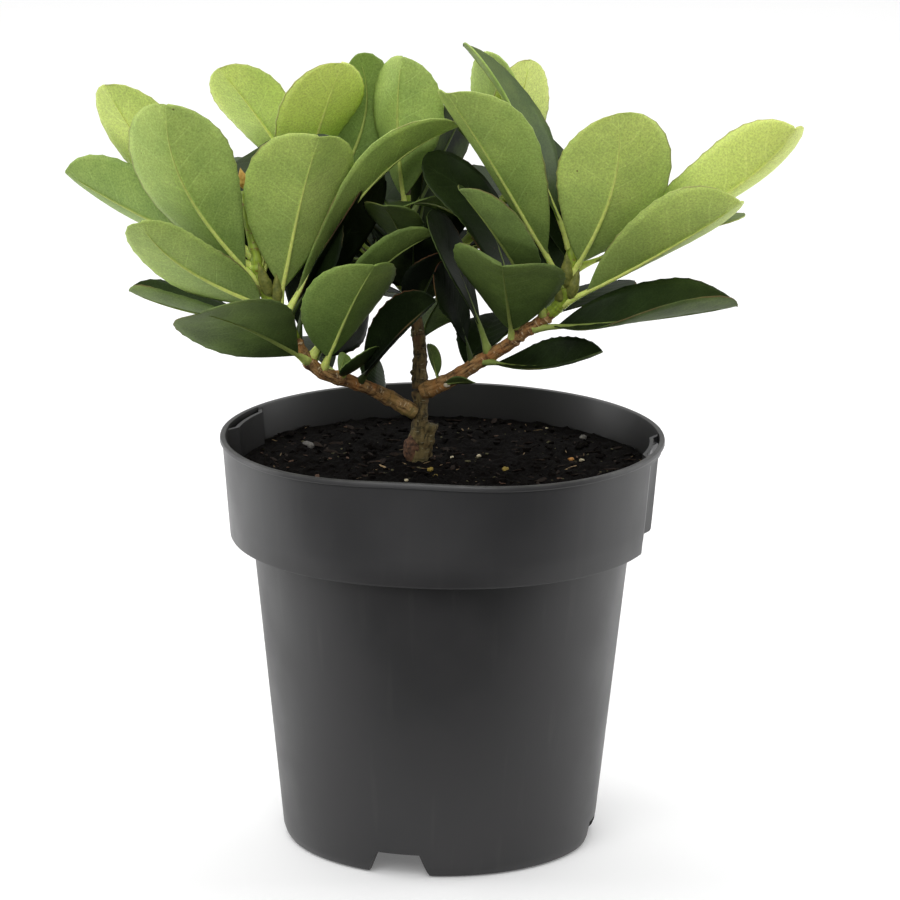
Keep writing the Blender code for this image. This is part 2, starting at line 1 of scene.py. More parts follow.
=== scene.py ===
"""A potted Indian hawthorn dressed over its CAD frame: leathery leaves with pale ribs, brown bark, potting
mix and a charcoal nursery pot.

Sizes are in millimetres and degrees unless a name says otherwise. The rule that grows the boughs and leaves is
that of the part's source, carried to finer detail.
"""
import functools
import math
import random

import bmesh
import bpy
from mathutils import Matrix, Vector, noise


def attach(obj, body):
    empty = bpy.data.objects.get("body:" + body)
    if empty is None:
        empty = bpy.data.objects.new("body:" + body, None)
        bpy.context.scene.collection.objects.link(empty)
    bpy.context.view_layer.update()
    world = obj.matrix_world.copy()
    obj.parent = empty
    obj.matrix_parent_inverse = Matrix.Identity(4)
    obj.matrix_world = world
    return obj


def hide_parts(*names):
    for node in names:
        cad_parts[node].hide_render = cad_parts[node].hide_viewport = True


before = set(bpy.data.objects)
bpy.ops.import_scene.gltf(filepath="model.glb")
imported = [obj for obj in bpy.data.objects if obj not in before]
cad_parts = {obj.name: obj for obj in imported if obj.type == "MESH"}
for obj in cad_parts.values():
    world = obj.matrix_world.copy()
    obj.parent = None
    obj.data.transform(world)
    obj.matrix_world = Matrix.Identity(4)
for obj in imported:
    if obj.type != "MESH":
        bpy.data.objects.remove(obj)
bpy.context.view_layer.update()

MM = 0.001
GAP = 0.3

# Pot
POT_HEIGHT = 177.0
RIM_RADIUS = 95.0
COLLAR_HEIGHT = 44.0
COLLAR_FOOT_RADIUS = 90.4
BODY_TOP_RADIUS = 80.9
BASE_RADIUS = 66.9
WALL = 1.6
BEAD_HEIGHT = 2.5
BEAD_PROUD = 1.0
FLOOR_RAISE = 10.8
FLOOR_WALL = 2.0
FOOT_RING_WIDTH = 6.4
PAD_RADIUS = 12.0
POT_STEPS = 144
POCKET_TURNS = (-7.5, 161.5)
POCKET_HALF_TURN = 9.0
POCKET_SPREAD = 0.92
POCKET_DEPTH = 3.8
POCKET_SIDE = 1.9
LIP_BAND = 4.5
DENT_TURN = -98.5
DENT_SPREAD = 25.5
DENT_DEPTH = 11.3
DENT_AT_SHOULDER = 0.24
NOTCH_TURNS = (-105.0, -9.0, 75.0, 165.0)
NOTCH_FOOT_WIDTH = 27.0
NOTCH_TOP_WIDTH = 19.0
NOTCH_HEIGHT = 10.2
SHOULDER = POT_HEIGHT - COLLAR_HEIGHT
COLLAR_LEAN = (RIM_RADIUS - BEAD_PROUD - COLLAR_FOOT_RADIUS) / COLLAR_HEIGHT

# Soil
SOIL_TOP = 162.2
SOIL_RINGS = 90
SOIL_STEPS = 220

# Limbs: points of each axis
TRUNK_PATH = [(-10.0, 10.0, SOIL_TOP - 2.0), (-9.6, 11.0, 179.0), (-9.5, 11.5, 193.0)]
LEFT_PATH = [(-12, 10, 184), (-20, 8, 189), (-29, 4, 195), (-37, 0, 199), (-43, -4, 202), (-50, -8, 205),
             (-56, -10, 210), (-60, -12, 216), (-63, -13, 222), (-68, -15, 231), (-77, -16, 245),
             (-79, -15, 257), (-82, -12, 270), (-84, -8, 284)]
RIGHT_PATH = [(-9, 11, 193), (3, 8, 199), (15, 3, 208), (27, -3, 217), (33, -6, 223), (40, -9, 228),
              (45, -11, 233), (48, -12, 236), (51, -13, 241), (53, -13, 249), (54, -12, 259), (55, -10, 268)]
CENTRE_PATH = [(-10, 12, 194), (-10, 15, 204), (-10, 18, 210), (-11, 21, 218), (-13, 25, 230),
               (-14, 29, 247), (-16, 32, 261), (-16, 34, 274)]
BACK_LEFT_PATH = [(-13, 25, 230), (-28, 36, 244), (-43, 46, 255), (-55, 52, 266), (-61, 55, 275)]
BACK_RIGHT_PATH = [(-13, 25, 230), (-2, 36, 242), (15, 48, 257), (25, 54, 268), (29, 56, 276)]
LEFT_RADII = (3.4, 2.9, 2.8, 2.7, 2.6, 2.5, 2.3, 1.9)
RIGHT_RADII = (3.5, 2.8, 2.7, 2.7, 2.7, 2.6, 2.2)
CENTRE_RADII = (3.3, 3.0, 2.8, 2.5, 2.2, 1.8, 1.5)
LIMB_SIDES = 20
LIMB_ROW = 0.9

# Leaves
LEAF_THICK = 0.45
STALK_WIDTH = 2.3
BLADE_COLUMNS = 12
BLADE_ROWS = 40
RIB_ROWS = 22
RIB_SIDES = 8
VEIN_PAIRS = 8
VEIN_SLOPE = 1.6
OBOVATE = (1.0, 0.5)
OVAL = (0.85, 0.5)
BLUNT = (0.8, 0.3)
GOLDEN_ANGLE = 137.5
HIDDEN_WIDTH_SHARE = 0.46
TOOTH = 0.4
QUILT = 0.12

# Camera, from the perspective of the rim and foot in the picture
CAMERA_PLACE = (0.0033, -2.319, 0.769)
CAMERA_TILT = 14.48
CAMERA_ROLL = 0.53
CAMERA_LENS = 224.2
FLOOR_SHADE = (-0.3, -0.12)


def leaf(foot, turn, rise, roll, length, width, arch=0.03, sway=0.0, cup=10, stalk=0.12, outline=OBOVATE,
         twist=0, tone=0.3):
    """One leaf: where on its stem it grows, where it points, its roll, size and bends, and its tone: partly how fresh a
    green, partly painted light and shade.
    """
    return dict(foot=foot, turn=turn, rise=rise, roll=roll, length=length, width=width, arch=arch, sway=sway,
                cup=cup, stalk=stalk, outline=outline, twist=twist, tone=tone)


LEFT_LEAVES = [
    leaf(10.9, 162, 46, 70, 98, 37, arch=0.02, sway=0.08, cup=15, tone=0.87),
    leaf(9.9, -155, 62, 45, 93, 49, arch=-0.05, sway=0.08, cup=20, tone=0.64),
    leaf(10.6, 156, 20, 55, 97, 40, arch=-0.01, sway=0.02, cup=25, stalk=0.1, tone=0.52),
    leaf(9.2, -155, 35, 37, 76, 36, arch=-0.02, sway=0.09, cup=11, outline=(0.55, 0.47), tone=0.67),
    leaf(8.6, 167, 9, 1, 70, 26, arch=-0.04, sway=0.01, cup=37, stalk=0.15, outline=(1.2, 0.48), twist=-6,
         tone=0.26),
    leaf(6.1, -130, 26, 56, 76, 48, arch=0, sway=-0.03, cup=3, outline=(1.0, 0.31), twist=38, tone=0.22),
    leaf(9.2, -43, 73, -25, 82, 50, arch=0.04, sway=0, cup=20, tone=0.73),
    leaf(8.9, 17, 46, -35, 111, 43, arch=0.1, sway=0, cup=15, tone=0.68),
    leaf(8.8, 43, 43, 115, 78, 34, arch=0.03, sway=-0.06, cup=5, tone=0),
    leaf(6.2, 5, 46, -30, 76, 31, arch=0.08, sway=0.01, cup=20, tone=0.33),
    leaf(5.2, -47, 58, -5, 61, 47, arch=0.02, sway=0.01, cup=15, stalk=0.14, outline=OVAL, tone=0.51),
    leaf(2.9, -33, 47, 55, 57, 27, arch=0.06, sway=0.03, cup=40, outline=OVAL, tone=0),
    leaf(4.1, -38, 38, 180, 27, 18, arch=0.09, sway=-0.15, cup=-15, outline=OVAL, tone=0.3),
    leaf(4.2, -57, 64, -65, 13, 7, arch=0.03, sway=0, cup=15, stalk=0.2, outline=OVAL, tone=0.4),
    leaf(1.9, 88, 27, 42, 21, 16, arch=-0.06, sway=-0.02, cup=-12, twist=-9, outline=OVAL, tone=0.2),
    leaf(12.6, 84, 26, -30, 40, 34, arch=0.03, sway=0.04, cup=5, stalk=0.1, tone=0.2),
    leaf(6.0, 62, 22, 100, 56, 32, arch=0.03, sway=-0.04, cup=10, outline=OVAL, tone=0.05),
]
RIGHT_LEAVES = [
    leaf(8.3, -151, 57, 15, 107, 49, arch=0.02, sway=0.01, cup=25, stalk=0.18, tone=0.66),
    leaf(8.7, -48, 70, -30, 82, 49, arch=-0.05, sway=-0.07, cup=10, stalk=0.14, outline=OVAL, tone=0.82),
    leaf(9.7, -8, 33, -55, 111, 40, arch=0.02, sway=-0.12, cup=40, stalk=0.16, tone=1.17),
    leaf(7.0, -20, 33, -30, 95, 49, arch=-0.02, sway=0, cup=25, stalk=0.16, tone=0.81),
    leaf(9.3, 17, 15, -5, 80, 30, arch=0.03, sway=0, cup=0, tone=0.7),
    leaf(4.5, -19, 11, 30, 93, 48, arch=0.05, sway=0.08, cup=25, stalk=0.14, twist=35, tone=0.15),
    leaf(2.1, -29, 11, 25, 59, 25, arch=0.02, sway=0.14, cup=30, stalk=0.14, tone=0.08),
    leaf(3.4, -97, 45, -10, 59, 51, arch=0.03, sway=0.01, cup=20, stalk=0.14, outline=BLUNT, tone=0.3),
    leaf(5.6, -134, 50, -10, 82, 35, arch=0.01, sway=-0.04, cup=25, stalk=0.14, tone=0.32),
    leaf(10.0, 146, 56, 10, 100, 45, arch=0.06, sway=-0.01, cup=15, stalk=0.14, twist=-17, tone=0.58),
    leaf(9.3, 99, 41, 45, 71, 42, arch=0.03, sway=-0.06, cup=5, tone=0.25),
    leaf(3.9, -179, 60, -25, 84, 36, arch=0.08, sway=0.14, cup=0, tone=0.12),
    leaf(2.4, -158, 65, -35, 69, 30, arch=0.03, sway=0.04, cup=5, stalk=0.2, tone=0.08),
    leaf(1.8, -154, 66, -45, 46, 28, arch=0.03, sway=0.08, cup=5, stalk=0.2, tone=0),
    leaf(1.4, 62, 30, -10, 40, 28, arch=0.03, sway=0.04, cup=10, outline=OVAL, tone=0.1),
    leaf(5.6, 54, 7, -5, 54, 28, arch=0.03, sway=0.06, cup=0, outline=OVAL, tone=0.1),
]
CENTRE_LEAVES = [
    leaf(5.5, 127, 86, 110, 80, 39, arch=-0.02, sway=0.03, cup=25, stalk=0.25, outline=OVAL, tone=0.62),
    leaf(6.0, 63, 38, -90, 72, 34, arch=0.03, sway=-0.04, cup=0, stalk=0.2, tone=0.06),
    leaf(4.9, 77, 50, -110, 66, 32, arch=0.03, sway=-0.04, cup=0, stalk=0.2, tone=0.06),
]
BACK_LEFT_LEAVES = [
    leaf(2.8, -6, 78, -67, 70, 25, arch=0.03, sway=-0.14, cup=-8, tone=0.47),
    leaf(4.0, -163, 54, 40, 64, 37, arch=0, sway=-0.02, cup=10, stalk=0.1, outline=OVAL, tone=0.87),
    leaf(4.0, -64, 57, 10, 70, 44, arch=-0.05, sway=0.06, cup=10, stalk=0.1, outline=OVAL, tone=1.2),
]
BACK_RIGHT_LEAVES = [
    leaf(3.4, -142, 79, -5, 64, 42, arch=0.03, sway=-0.04, cup=0, stalk=0.1, outline=OVAL, tone=0.68),
    leaf(3.7, 23, 81, -60, 56, 40, arch=0, sway=0.02, cup=0, stalk=0.1, outline=OVAL, tone=1.05),
]
# Side buds by the shoots: which bough's, foot, tip and width
BUDS = [
    ("right", (52, -14.5, 244), (51.5, -16.5, 261), 5.0),
    ("right", (53, -15, 240), (57, -17, 254), 4.6),
    ("right", (50, -14, 238), (46, -15, 249), 4.0),
    ("left", (-73, -17, 240), (-78, -20, 256), 5.0),
    ("left", (-70, -16, 236), (-70.5, -18, 251), 4.6),
    ("left", (-74, -16, 240), (-84, -18, 250), 4.0),
]
# Small leaves low on the boughs, too fine for the solids, and inner ones in the shade, whose near-black colour is
# painted shade
LEFT_SPRIGS = [
    leaf(9.2, 133, 52, 10, 56, 26, cup=5, outline=OVAL, tone=0.05),
    leaf(7.6, 60, 68, -10, 60, 32, cup=5, outline=OVAL, tone=0.0),
]
RIGHT_SPRIGS = [
    leaf(0.6, -152, 76, 15, 19, 8, stalk=0.2, cup=15, outline=OVAL, tone=0.25),
    leaf(0.6, -47, 14, -30, 22, 8, stalk=0.2, outline=OVAL, tone=0.2),
    leaf(9.2, 110, 62, 10, 52, 27, cup=5, outline=OVAL, tone=0.12),
    leaf(7.4, 125, 62, 0, 58, 28, cup=5, outline=(0.5, 0.8), tone=0.15),
]
CENTRE_SPRIGS = [
    leaf(4.05, -90, 60, 0, 40, 26, cup=5, outline=(0.5, 0.5), tone=0.02),
    leaf(3.6, -60, 50, 0, 42, 26, cup=5, outline=(0.5, 0.5), tone=0.0),
    leaf(1.6, 71, 27, 155, 46, 28, sway=0.14, cup=15, stalk=0.3, tone=0.1),
]
# Inner leaves in the shade round the middle stem, between the solids' leaves; their near-black colour is painted shade
CENTRE_INNER = [
    leaf(4.2, 90, 39, 0, 62, 28, cup=5, outline=OVAL, tone=0.05),
    leaf(4.4, 115, 40, 10, 45, 24, cup=5, outline=OVAL, tone=0.05),
    leaf(4.5, 74, 36, -10, 45, 22, cup=5, outline=OVAL, tone=0.05),
    leaf(4.3, 138, 25, 20, 32, 20, cup=5, outline=OVAL, tone=0.05),
    leaf(4.1, 125, -8, 30, 30, 18, cup=5, outline=OVAL, tone=0.05),
    leaf(4.3, 66, 4, -20, 41, 20, cup=5, outline=OVAL, tone=0.05),
    leaf(4.5, 104, 6, 0, 38, 22, cup=5, outline=OVAL, tone=0.0),
    leaf(4.3, 64, -10, -10, 34, 20, cup=5, outline=OVAL, tone=0.0),
    leaf(4.9, 50, 6, 0, 50, 24, cup=5, outline=OVAL, tone=0.0),
    leaf(4.4, 120, 20, 0, 52, 24, cup=5, outline=OVAL, tone=0.0),
    leaf(4.3, 30, 50, 0, 40, 20, cup=5, outline=OVAL, tone=0.0),
    leaf(4.2, 150, 20, 0, 40, 20, cup=5, outline=OVAL, tone=0.0),
]


def to_linear(code):
    """An sRGB hex colour as linear RGBA."""
    values = [int(code[i:i + 2], 16) / 255 for i in (1, 3, 5)]
    return [v / 12.92 if v <= 0.04045 else ((v + 0.055) / 1.055) ** 2.4 for v in values] + [1.0]


def add_node(tree, kind, inputs=None, out=0, **settings):
    """One node with its settings; inputs takes, by name or number, values, hex colours and other nodes' outputs."""
    node = tree.nodes.new(kind)
    for key, value in settings.items():
        setattr(node, key, value)
    for key, value in (inputs or {}).items():
        if isinstance(value, bpy.types.NodeSocket):
            tree.links.new(value, node.inputs[key])
        else:
            node.inputs[key].default_value = to_linear(value) if isinstance(value, str) else value
    return node.outputs[out]


def start_material(name, roughness, ior=1.45, gloss=0.5):
    """A Principled material with its plain socket values, its shader and the call that adds its nodes."""
    material = bpy.data.materials.new(name)
    material.use_nodes = True
    shader = material.node_tree.nodes["Principled BSDF"]
    shader.inputs["Roughness"].default_value = roughness
    shader.inputs["IOR"].default_value = ior
    shader.inputs["Specular IOR Level"].default_value = gloss
    return material, shader, functools.partial(add_node, material.node_tree)


def connect(shader, **sockets):
    """Lead outputs into the shader's sockets, with _ for a space in their names."""
    for name, output in sockets.items():
        shader.id_data.links.new(output, shader.inputs[name.replace("_", " ")])


def leaf_material(name, shades, lift, roughness, gloss, show, specks):
    """A leathery evergreen blade: green by the leaf's tone, which is partly painted light and shade, a foot darkened
    partly by painted shade, side veins, a fine net, specks and a rust margin.
    """
    material, shader, add = start_material(name, roughness)
    share = add("ShaderNodeSeparateXYZ", {0: add("ShaderNodeUVMap", uv_map="leaf")})
    off_rib = add("ShaderNodeMath", {0: share, 1: 0.5}, operation="SUBTRACT")
    across = add("ShaderNodeMath", {0: off_rib, 1: 2.0}, operation="MULTIPLY")
    across = add("ShaderNodeMath", {0: across}, operation="ABSOLUTE")
    length = share.node.outputs[1]
    place = add("ShaderNodeTexCoord", out="Object")
    mottle = add("ShaderNodeTexNoise", {"Vector": place, "Scale": 1 / 0.015, "Detail": 4.0, "Roughness": 0.55})
    tone = add("ShaderNodeAttribute", out="Fac", attribute_name="tone")
    shine = add("ShaderNodeMapRange", {0: tone, 1: 0.0, 2: 0.35, 3: gloss[0], 4: gloss[1]})
    stir = add("ShaderNodeMapRange", {0: mottle, 1: 0.3, 2: 0.7, 3: -0.07, 4: 0.07})
    tone = add("ShaderNodeMath", {0: tone, 1: stir}, operation="ADD")
    # The tone is partly painted light and shade: near black for leaves in the crown's shade, brightest for backlit ones
    low = add("ShaderNodeMapRange", {0: tone, 1: 0.0, 2: 0.5})
    high = add("ShaderNodeMapRange", {0: tone, 1: 0.5, 2: 1.0})
    green = add("ShaderNodeMix", {0: low, 6: shades[0], 7: shades[1]}, out=2, data_type="RGBA")
    green = add("ShaderNodeMix", {0: high, 6: green, 7: shades[2]}, out=2, data_type="RGBA")
    # Mealy grains of about 0.3 mm, drawn 0.9 mm so that they show, and a greener foot, darker partly of itself and
    # partly by painted shade from the crown
    mealy_and_foot_shade = add("ShaderNodeTexNoise", {"Vector": place, "Scale": 1 / 0.0009, "Detail": 3.0, "Roughness": 0.7})
    mealy_and_foot_shade = add("ShaderNodeMapRange", {0: mealy_and_foot_shade, 1: 0.3, 2: 0.7, 3: 0.78, 4: 1.19})
    foot = add("ShaderNodeMapRange", {0: length, 1: 0.0, 2: 0.55, 3: 0.5, 4: 1.0})
    mealy_and_foot_shade = add("ShaderNodeMath", {0: mealy_and_foot_shade, 1: foot}, operation="MULTIPLY")
    hue = add("ShaderNodeMapRange", {0: length, 1: 0.0, 2: 1.0, 3: 0.516, 4: 0.498})
    green = add("ShaderNodeHueSaturation", {"Color": green, "Hue": hue, "Value": mealy_and_foot_shade})
    vein = add("ShaderNodeHueSaturation", {"Color": green, "Value": lift, "Saturation": 0.94})

    # Side veins leave the rib at about 45 degrees, 10 mm apart, and are drawn 0.7 mm wide
    climb = add("ShaderNodeMath", {0: length, 1: float(VEIN_PAIRS)}, operation="MULTIPLY")
    drop = add("ShaderNodeMath", {0: across, 1: VEIN_SLOPE}, operation="MULTIPLY")
    stray = add("ShaderNodeMath", {0: mottle, 1: 0.35}, operation="MULTIPLY")
    climb = add("ShaderNodeMath", {0: climb, 1: drop}, operation="SUBTRACT")
    climb = add("ShaderNodeMath", {0: climb, 1: stray}, operation="ADD")
    wave = add("ShaderNodeMath", {0: climb, 1: 1.0}, operation="PINGPONG")
    ridge = add("ShaderNodeMath", {0: wave, 1: 0.5}, operation="SUBTRACT")
    ridge = add("ShaderNodeMath", {0: ridge}, operation="ABSOLUTE")
    side_vein = add("ShaderNodeMapRange", {0: ridge, 1: 0.0, 2: 0.07, 3: 1.0, 4: 0.0}, interpolation_type="SMOOTHSTEP")
    fade = add("ShaderNodeMapRange", {0: across, 1: 0.35, 2: 0.95, 3: 1.0, 4: 0.0})
    side_vein = add("ShaderNodeMath", {0: side_vein, 1: fade}, operation="MULTIPLY")
    veins = add("ShaderNodeMath", {0: side_vein, 1: show * 1.3}, operation="MULTIPLY")
    green = add("ShaderNodeMix", {0: veins, 6: green, 7: vein}, out=2, data_type="RGBA")

    # The net of small veins has cells of about 0.6 mm, drawn 1.2 mm across so that it shows
    cells = add("ShaderNodeTexVoronoi", {"Vector": place, "Scale": 1 / 0.0012}, feature="DISTANCE_TO_EDGE")
    net = add("ShaderNodeMapRange", {0: cells, 1: 0.0, 2: 0.2, 3: show, 4: 0.0})
    green = add("ShaderNodeMix", {0: net, 6: green, 7: vein}, out=2, data_type="RGBA")
    rib_edge = add("ShaderNodeMapRange", {0: length, 1: 0.0, 2: 1.0, 3: 0.07, 4: 0.012})
    rib = add("ShaderNodeMath", {0: across, 1: rib_edge}, operation="LESS_THAN")
    rib = add("ShaderNodeMath", {0: rib, 1: 0.75}, operation="MULTIPLY")
    green = add("ShaderNodeMix", {0: rib, 6: green, 7: vein}, out=2, data_type="RGBA")

    # Brown specks about 0.8 mm across, in patches, and a thin rust line along parts of the margin
    dots = add("ShaderNodeTexVoronoi", {"Vector": place, "Scale": 1 / 0.007})
    dots = add("ShaderNodeMath", {0: dots, 1: 0.06}, operation="LESS_THAN")
    patches = add("ShaderNodeTexNoise", {"Vector": place, "Scale": 1 / 0.03, "Detail": 1.0})
    some = add("ShaderNodeMapRange", {0: patches, 1: 0.55, 2: 0.6, 3: 0.0, 4: specks})
    dots = add("ShaderNodeMath", {0: dots, 1: some}, operation="MULTIPLY")
    green = add("ShaderNodeMix", {0: dots, 6: green, 7: "#5E4026"}, out=2, data_type="RGBA")
    margin = add("ShaderNodeMapRange", {0: across, 1: 0.965, 2: 0.99, 3: 0.0, 4: 0.6})
    rust = add("ShaderNodeMapRange", {0: patches, 1: 0.5, 2: 0.6})
    fresh = add("ShaderNodeMapRange", {0: tone, 1: 0.75, 2: 0.95})
    rust = add("ShaderNodeMath", {0: rust, 1: fresh}, operation="MAXIMUM")
    margin = add("ShaderNodeMath", {0: margin, 1: rust}, operation="MULTIPLY")
    green = add("ShaderNodeMix", {0: margin, 6: green, 7: "#6E4A34"}, out=2, data_type="RGBA")
    relief = add("ShaderNodeMath", {0: cells, 1: side_vein}, operation="SUBTRACT")
    bump = add("ShaderNodeBump", {"Height": relief, "Strength": 0.3, "Distance": 0.25 * MM})
    # Light from behind glows through a fresh blade
    glow = add("ShaderNodeMapRange", {0: tone, 1: 0.5, 2: 1.0, 3: 0.0, 4: 0.42})
    shader.inputs["Subsurface Scale"].default_value = 2 * MM
    shader.inputs["Subsurface Radius"].default_value = (0.8, 1.0, 0.7)
    connect(shader, Base_Color=green, Specular_IOR_Level=shine, Subsurface_Weight=glow, Normal=bump)
    return material


def rib_material(name, shades):
    """Fresh midrib and stalk: smooth and juicy, paler than its blade, by the leaf's tone, which is partly painted light
    and shade.
    """
    material, shader, add = start_material(name, 0.42, gloss=0.25)
    tone = add("ShaderNodeAttribute", out="Fac", attribute_name="tone")
    low = add("ShaderNodeMapRange", {0: tone, 1: 0.0, 2: 0.3})
    high = add("ShaderNodeMapRange", {0: tone, 1: 0.3, 2: 1.0})
    green = add("ShaderNodeMix", {0: low, 6: shades[0], 7: shades[1]}, out=2, data_type="RGBA")
    green = add("ShaderNodeMix", {0: high, 6: green, 7: shades[2]}, out=2, data_type="RGBA")
    glow = add("ShaderNodeMapRange", {0: tone, 1: 0.5, 2: 1.0, 3: 0.0, 4: 0.42})
    shader.inputs["Subsurface Scale"].default_value = 2 * MM
    shader.inputs["Subsurface Radius"].default_value = (0.8, 1.0, 0.7)
    # Faint flecks of about 1.5 mm along the stalk
    flecks = add("ShaderNodeTexNoise", {"Vector": add("ShaderNodeTexCoord", out="Object"), "Scale": 1 / 0.0015,
                                        "Detail": 3.0})
    flecks = add("ShaderNodeMapRange", {0: flecks, 1: 0.3, 2: 0.7, 3: 0.88, 4: 1.1})
    green = add("ShaderNodeHueSaturation", {"Color": green, "Value": flecks})
    connect(shader, Base_Color=green, Subsurface_Weight=glow)
    return material


def limb_material(name, shades, scar, lichen, roughness, relief_mm, streak_mm=0.9):
    """Skin of a stem: lengthwise streaks, short cross scars and, where its age says so, a green crust."""
    material, shader, add = start_material(name, roughness)
    turns = add("ShaderNodeSeparateXYZ", {0: add("ShaderNodeUVMap", uv_map="limb")})
    angle = add("ShaderNodeMath", {0: turns, 1: math.tau}, operation="MULTIPLY")
    east = add("ShaderNodeMath", {0: angle}, operation="COSINE")
    north = add("ShaderNodeMath", {0: angle}, operation="SINE")
    run = turns.node.outputs[1]
    slow_run = add("ShaderNodeMath", {0: run, 1: 0.1}, operation="MULTIPLY")
    stretched = add("ShaderNodeCombineXYZ", {0: east, 1: north, 2: slow_run})
    # A limb is about 2 mm in radius, so one unit round it is 2 mm
    streaks = add("ShaderNodeTexNoise", {"Vector": stretched, "Scale": 2 / streak_mm, "Detail": 6.0,
                                         "Roughness": 0.65})
    squeezed = add("ShaderNodeCombineXYZ", {0: east, 1: north, 2: run})
    crossing = add("ShaderNodeTexNoise", {"Vector": squeezed, "Scale": 0.8, "Detail": 3.0, "Roughness": 0.6})
    patches = add("ShaderNodeTexNoise", {"Vector": add("ShaderNodeTexCoord", out="Object"), "Scale": 1 / 0.006,
                                         "Detail": 4.0})
    spread = add("ShaderNodeMapRange", {0: streaks, 1: 0.36, 2: 0.6})
    colour = add("ShaderNodeMix", {0: spread, 6: shades[0], 7: shades[1]}, out=2, data_type="RGBA")
    warm = add("ShaderNodeMapRange", {0: patches, 1: 0.45, 2: 0.65, 3: 0.0, 4: 0.6})
    colour = add("ShaderNodeMix", {0: warm, 6: colour, 7: shades[2]}, out=2, data_type="RGBA")
    scars = add("ShaderNodeMapRange", {0: crossing, 1: 0.6, 2: 0.66, 3: 0.0, 4: 0.8})
    colour = add("ShaderNodeMix", {0: scars, 6: colour, 7: scar}, out=2, data_type="RGBA")
    # Ring scars 6 mm apart, where bud scales fell
    rings = add("ShaderNodeMath", {0: run, 1: 1 / 6}, operation="MULTIPLY")
    rings = add("ShaderNodeMath", {0: rings, 1: crossing}, operation="ADD")
    rings = add("ShaderNodeMath", {0: rings, 1: 0.5}, operation="PINGPONG")
    rings = add("ShaderNodeMapRange", {0: rings, 1: 0.0, 2: 0.07, 3: 0.75, 4: 0.0})
    colour = add("ShaderNodeMix", {0: rings, 6: colour, 7: shades[0]}, out=2, data_type="RGBA")
    age = add("ShaderNodeAttribute", out="Fac", attribute_name="age")
    crust = add("ShaderNodeMapRange", {0: patches, 1: 0.4, 2: 0.6, 3: 0.15, 4: 1.0})
    crust = add("ShaderNodeMath", {0: crust, 1: age}, operation="MULTIPLY")
    colour = add("ShaderNodeMix", {0: crust, 6: colour, 7: lichen}, out=2, data_type="RGBA")
    height = add("ShaderNodeMath", {0: streaks, 1: crossing}, operation="ADD")
    bump = add("ShaderNodeBump", {"Height": height, "Strength": 0.7, "Distance": relief_mm * MM})
    connect(shader, Base_Color=colour, Normal=bump)
    return material


def grainy_material(name, low, high, roughness, grain_mm, relief_mm, gloss=0.5):
    """A crumbly or scaly surface whose colour and relief both follow one noise of a real grain size."""
    material, shader, add = start_material(name, roughness, gloss=gloss)
    place = add("ShaderNodeTexCoord", out="Object")
    grain = add("ShaderNodeTexNoise", {"Vector": place, "Scale": 1 / (grain_mm * MM), "Detail": 6.0,
                                       "Roughness": 0.6})
    spread = add("ShaderNodeMapRange", {0: grain, 1: 0.3, 2: 0.7})
    colour = add("ShaderNodeMix", {0: spread, 6: low, 7: high}, out=2, data_type="RGBA")
    bump = add("ShaderNodeBump", {"Height": grain, "Strength": 0.7, "Distance": relief_mm * MM})
    connect(shader, Base_Color=colour, Normal=bump)
    return material


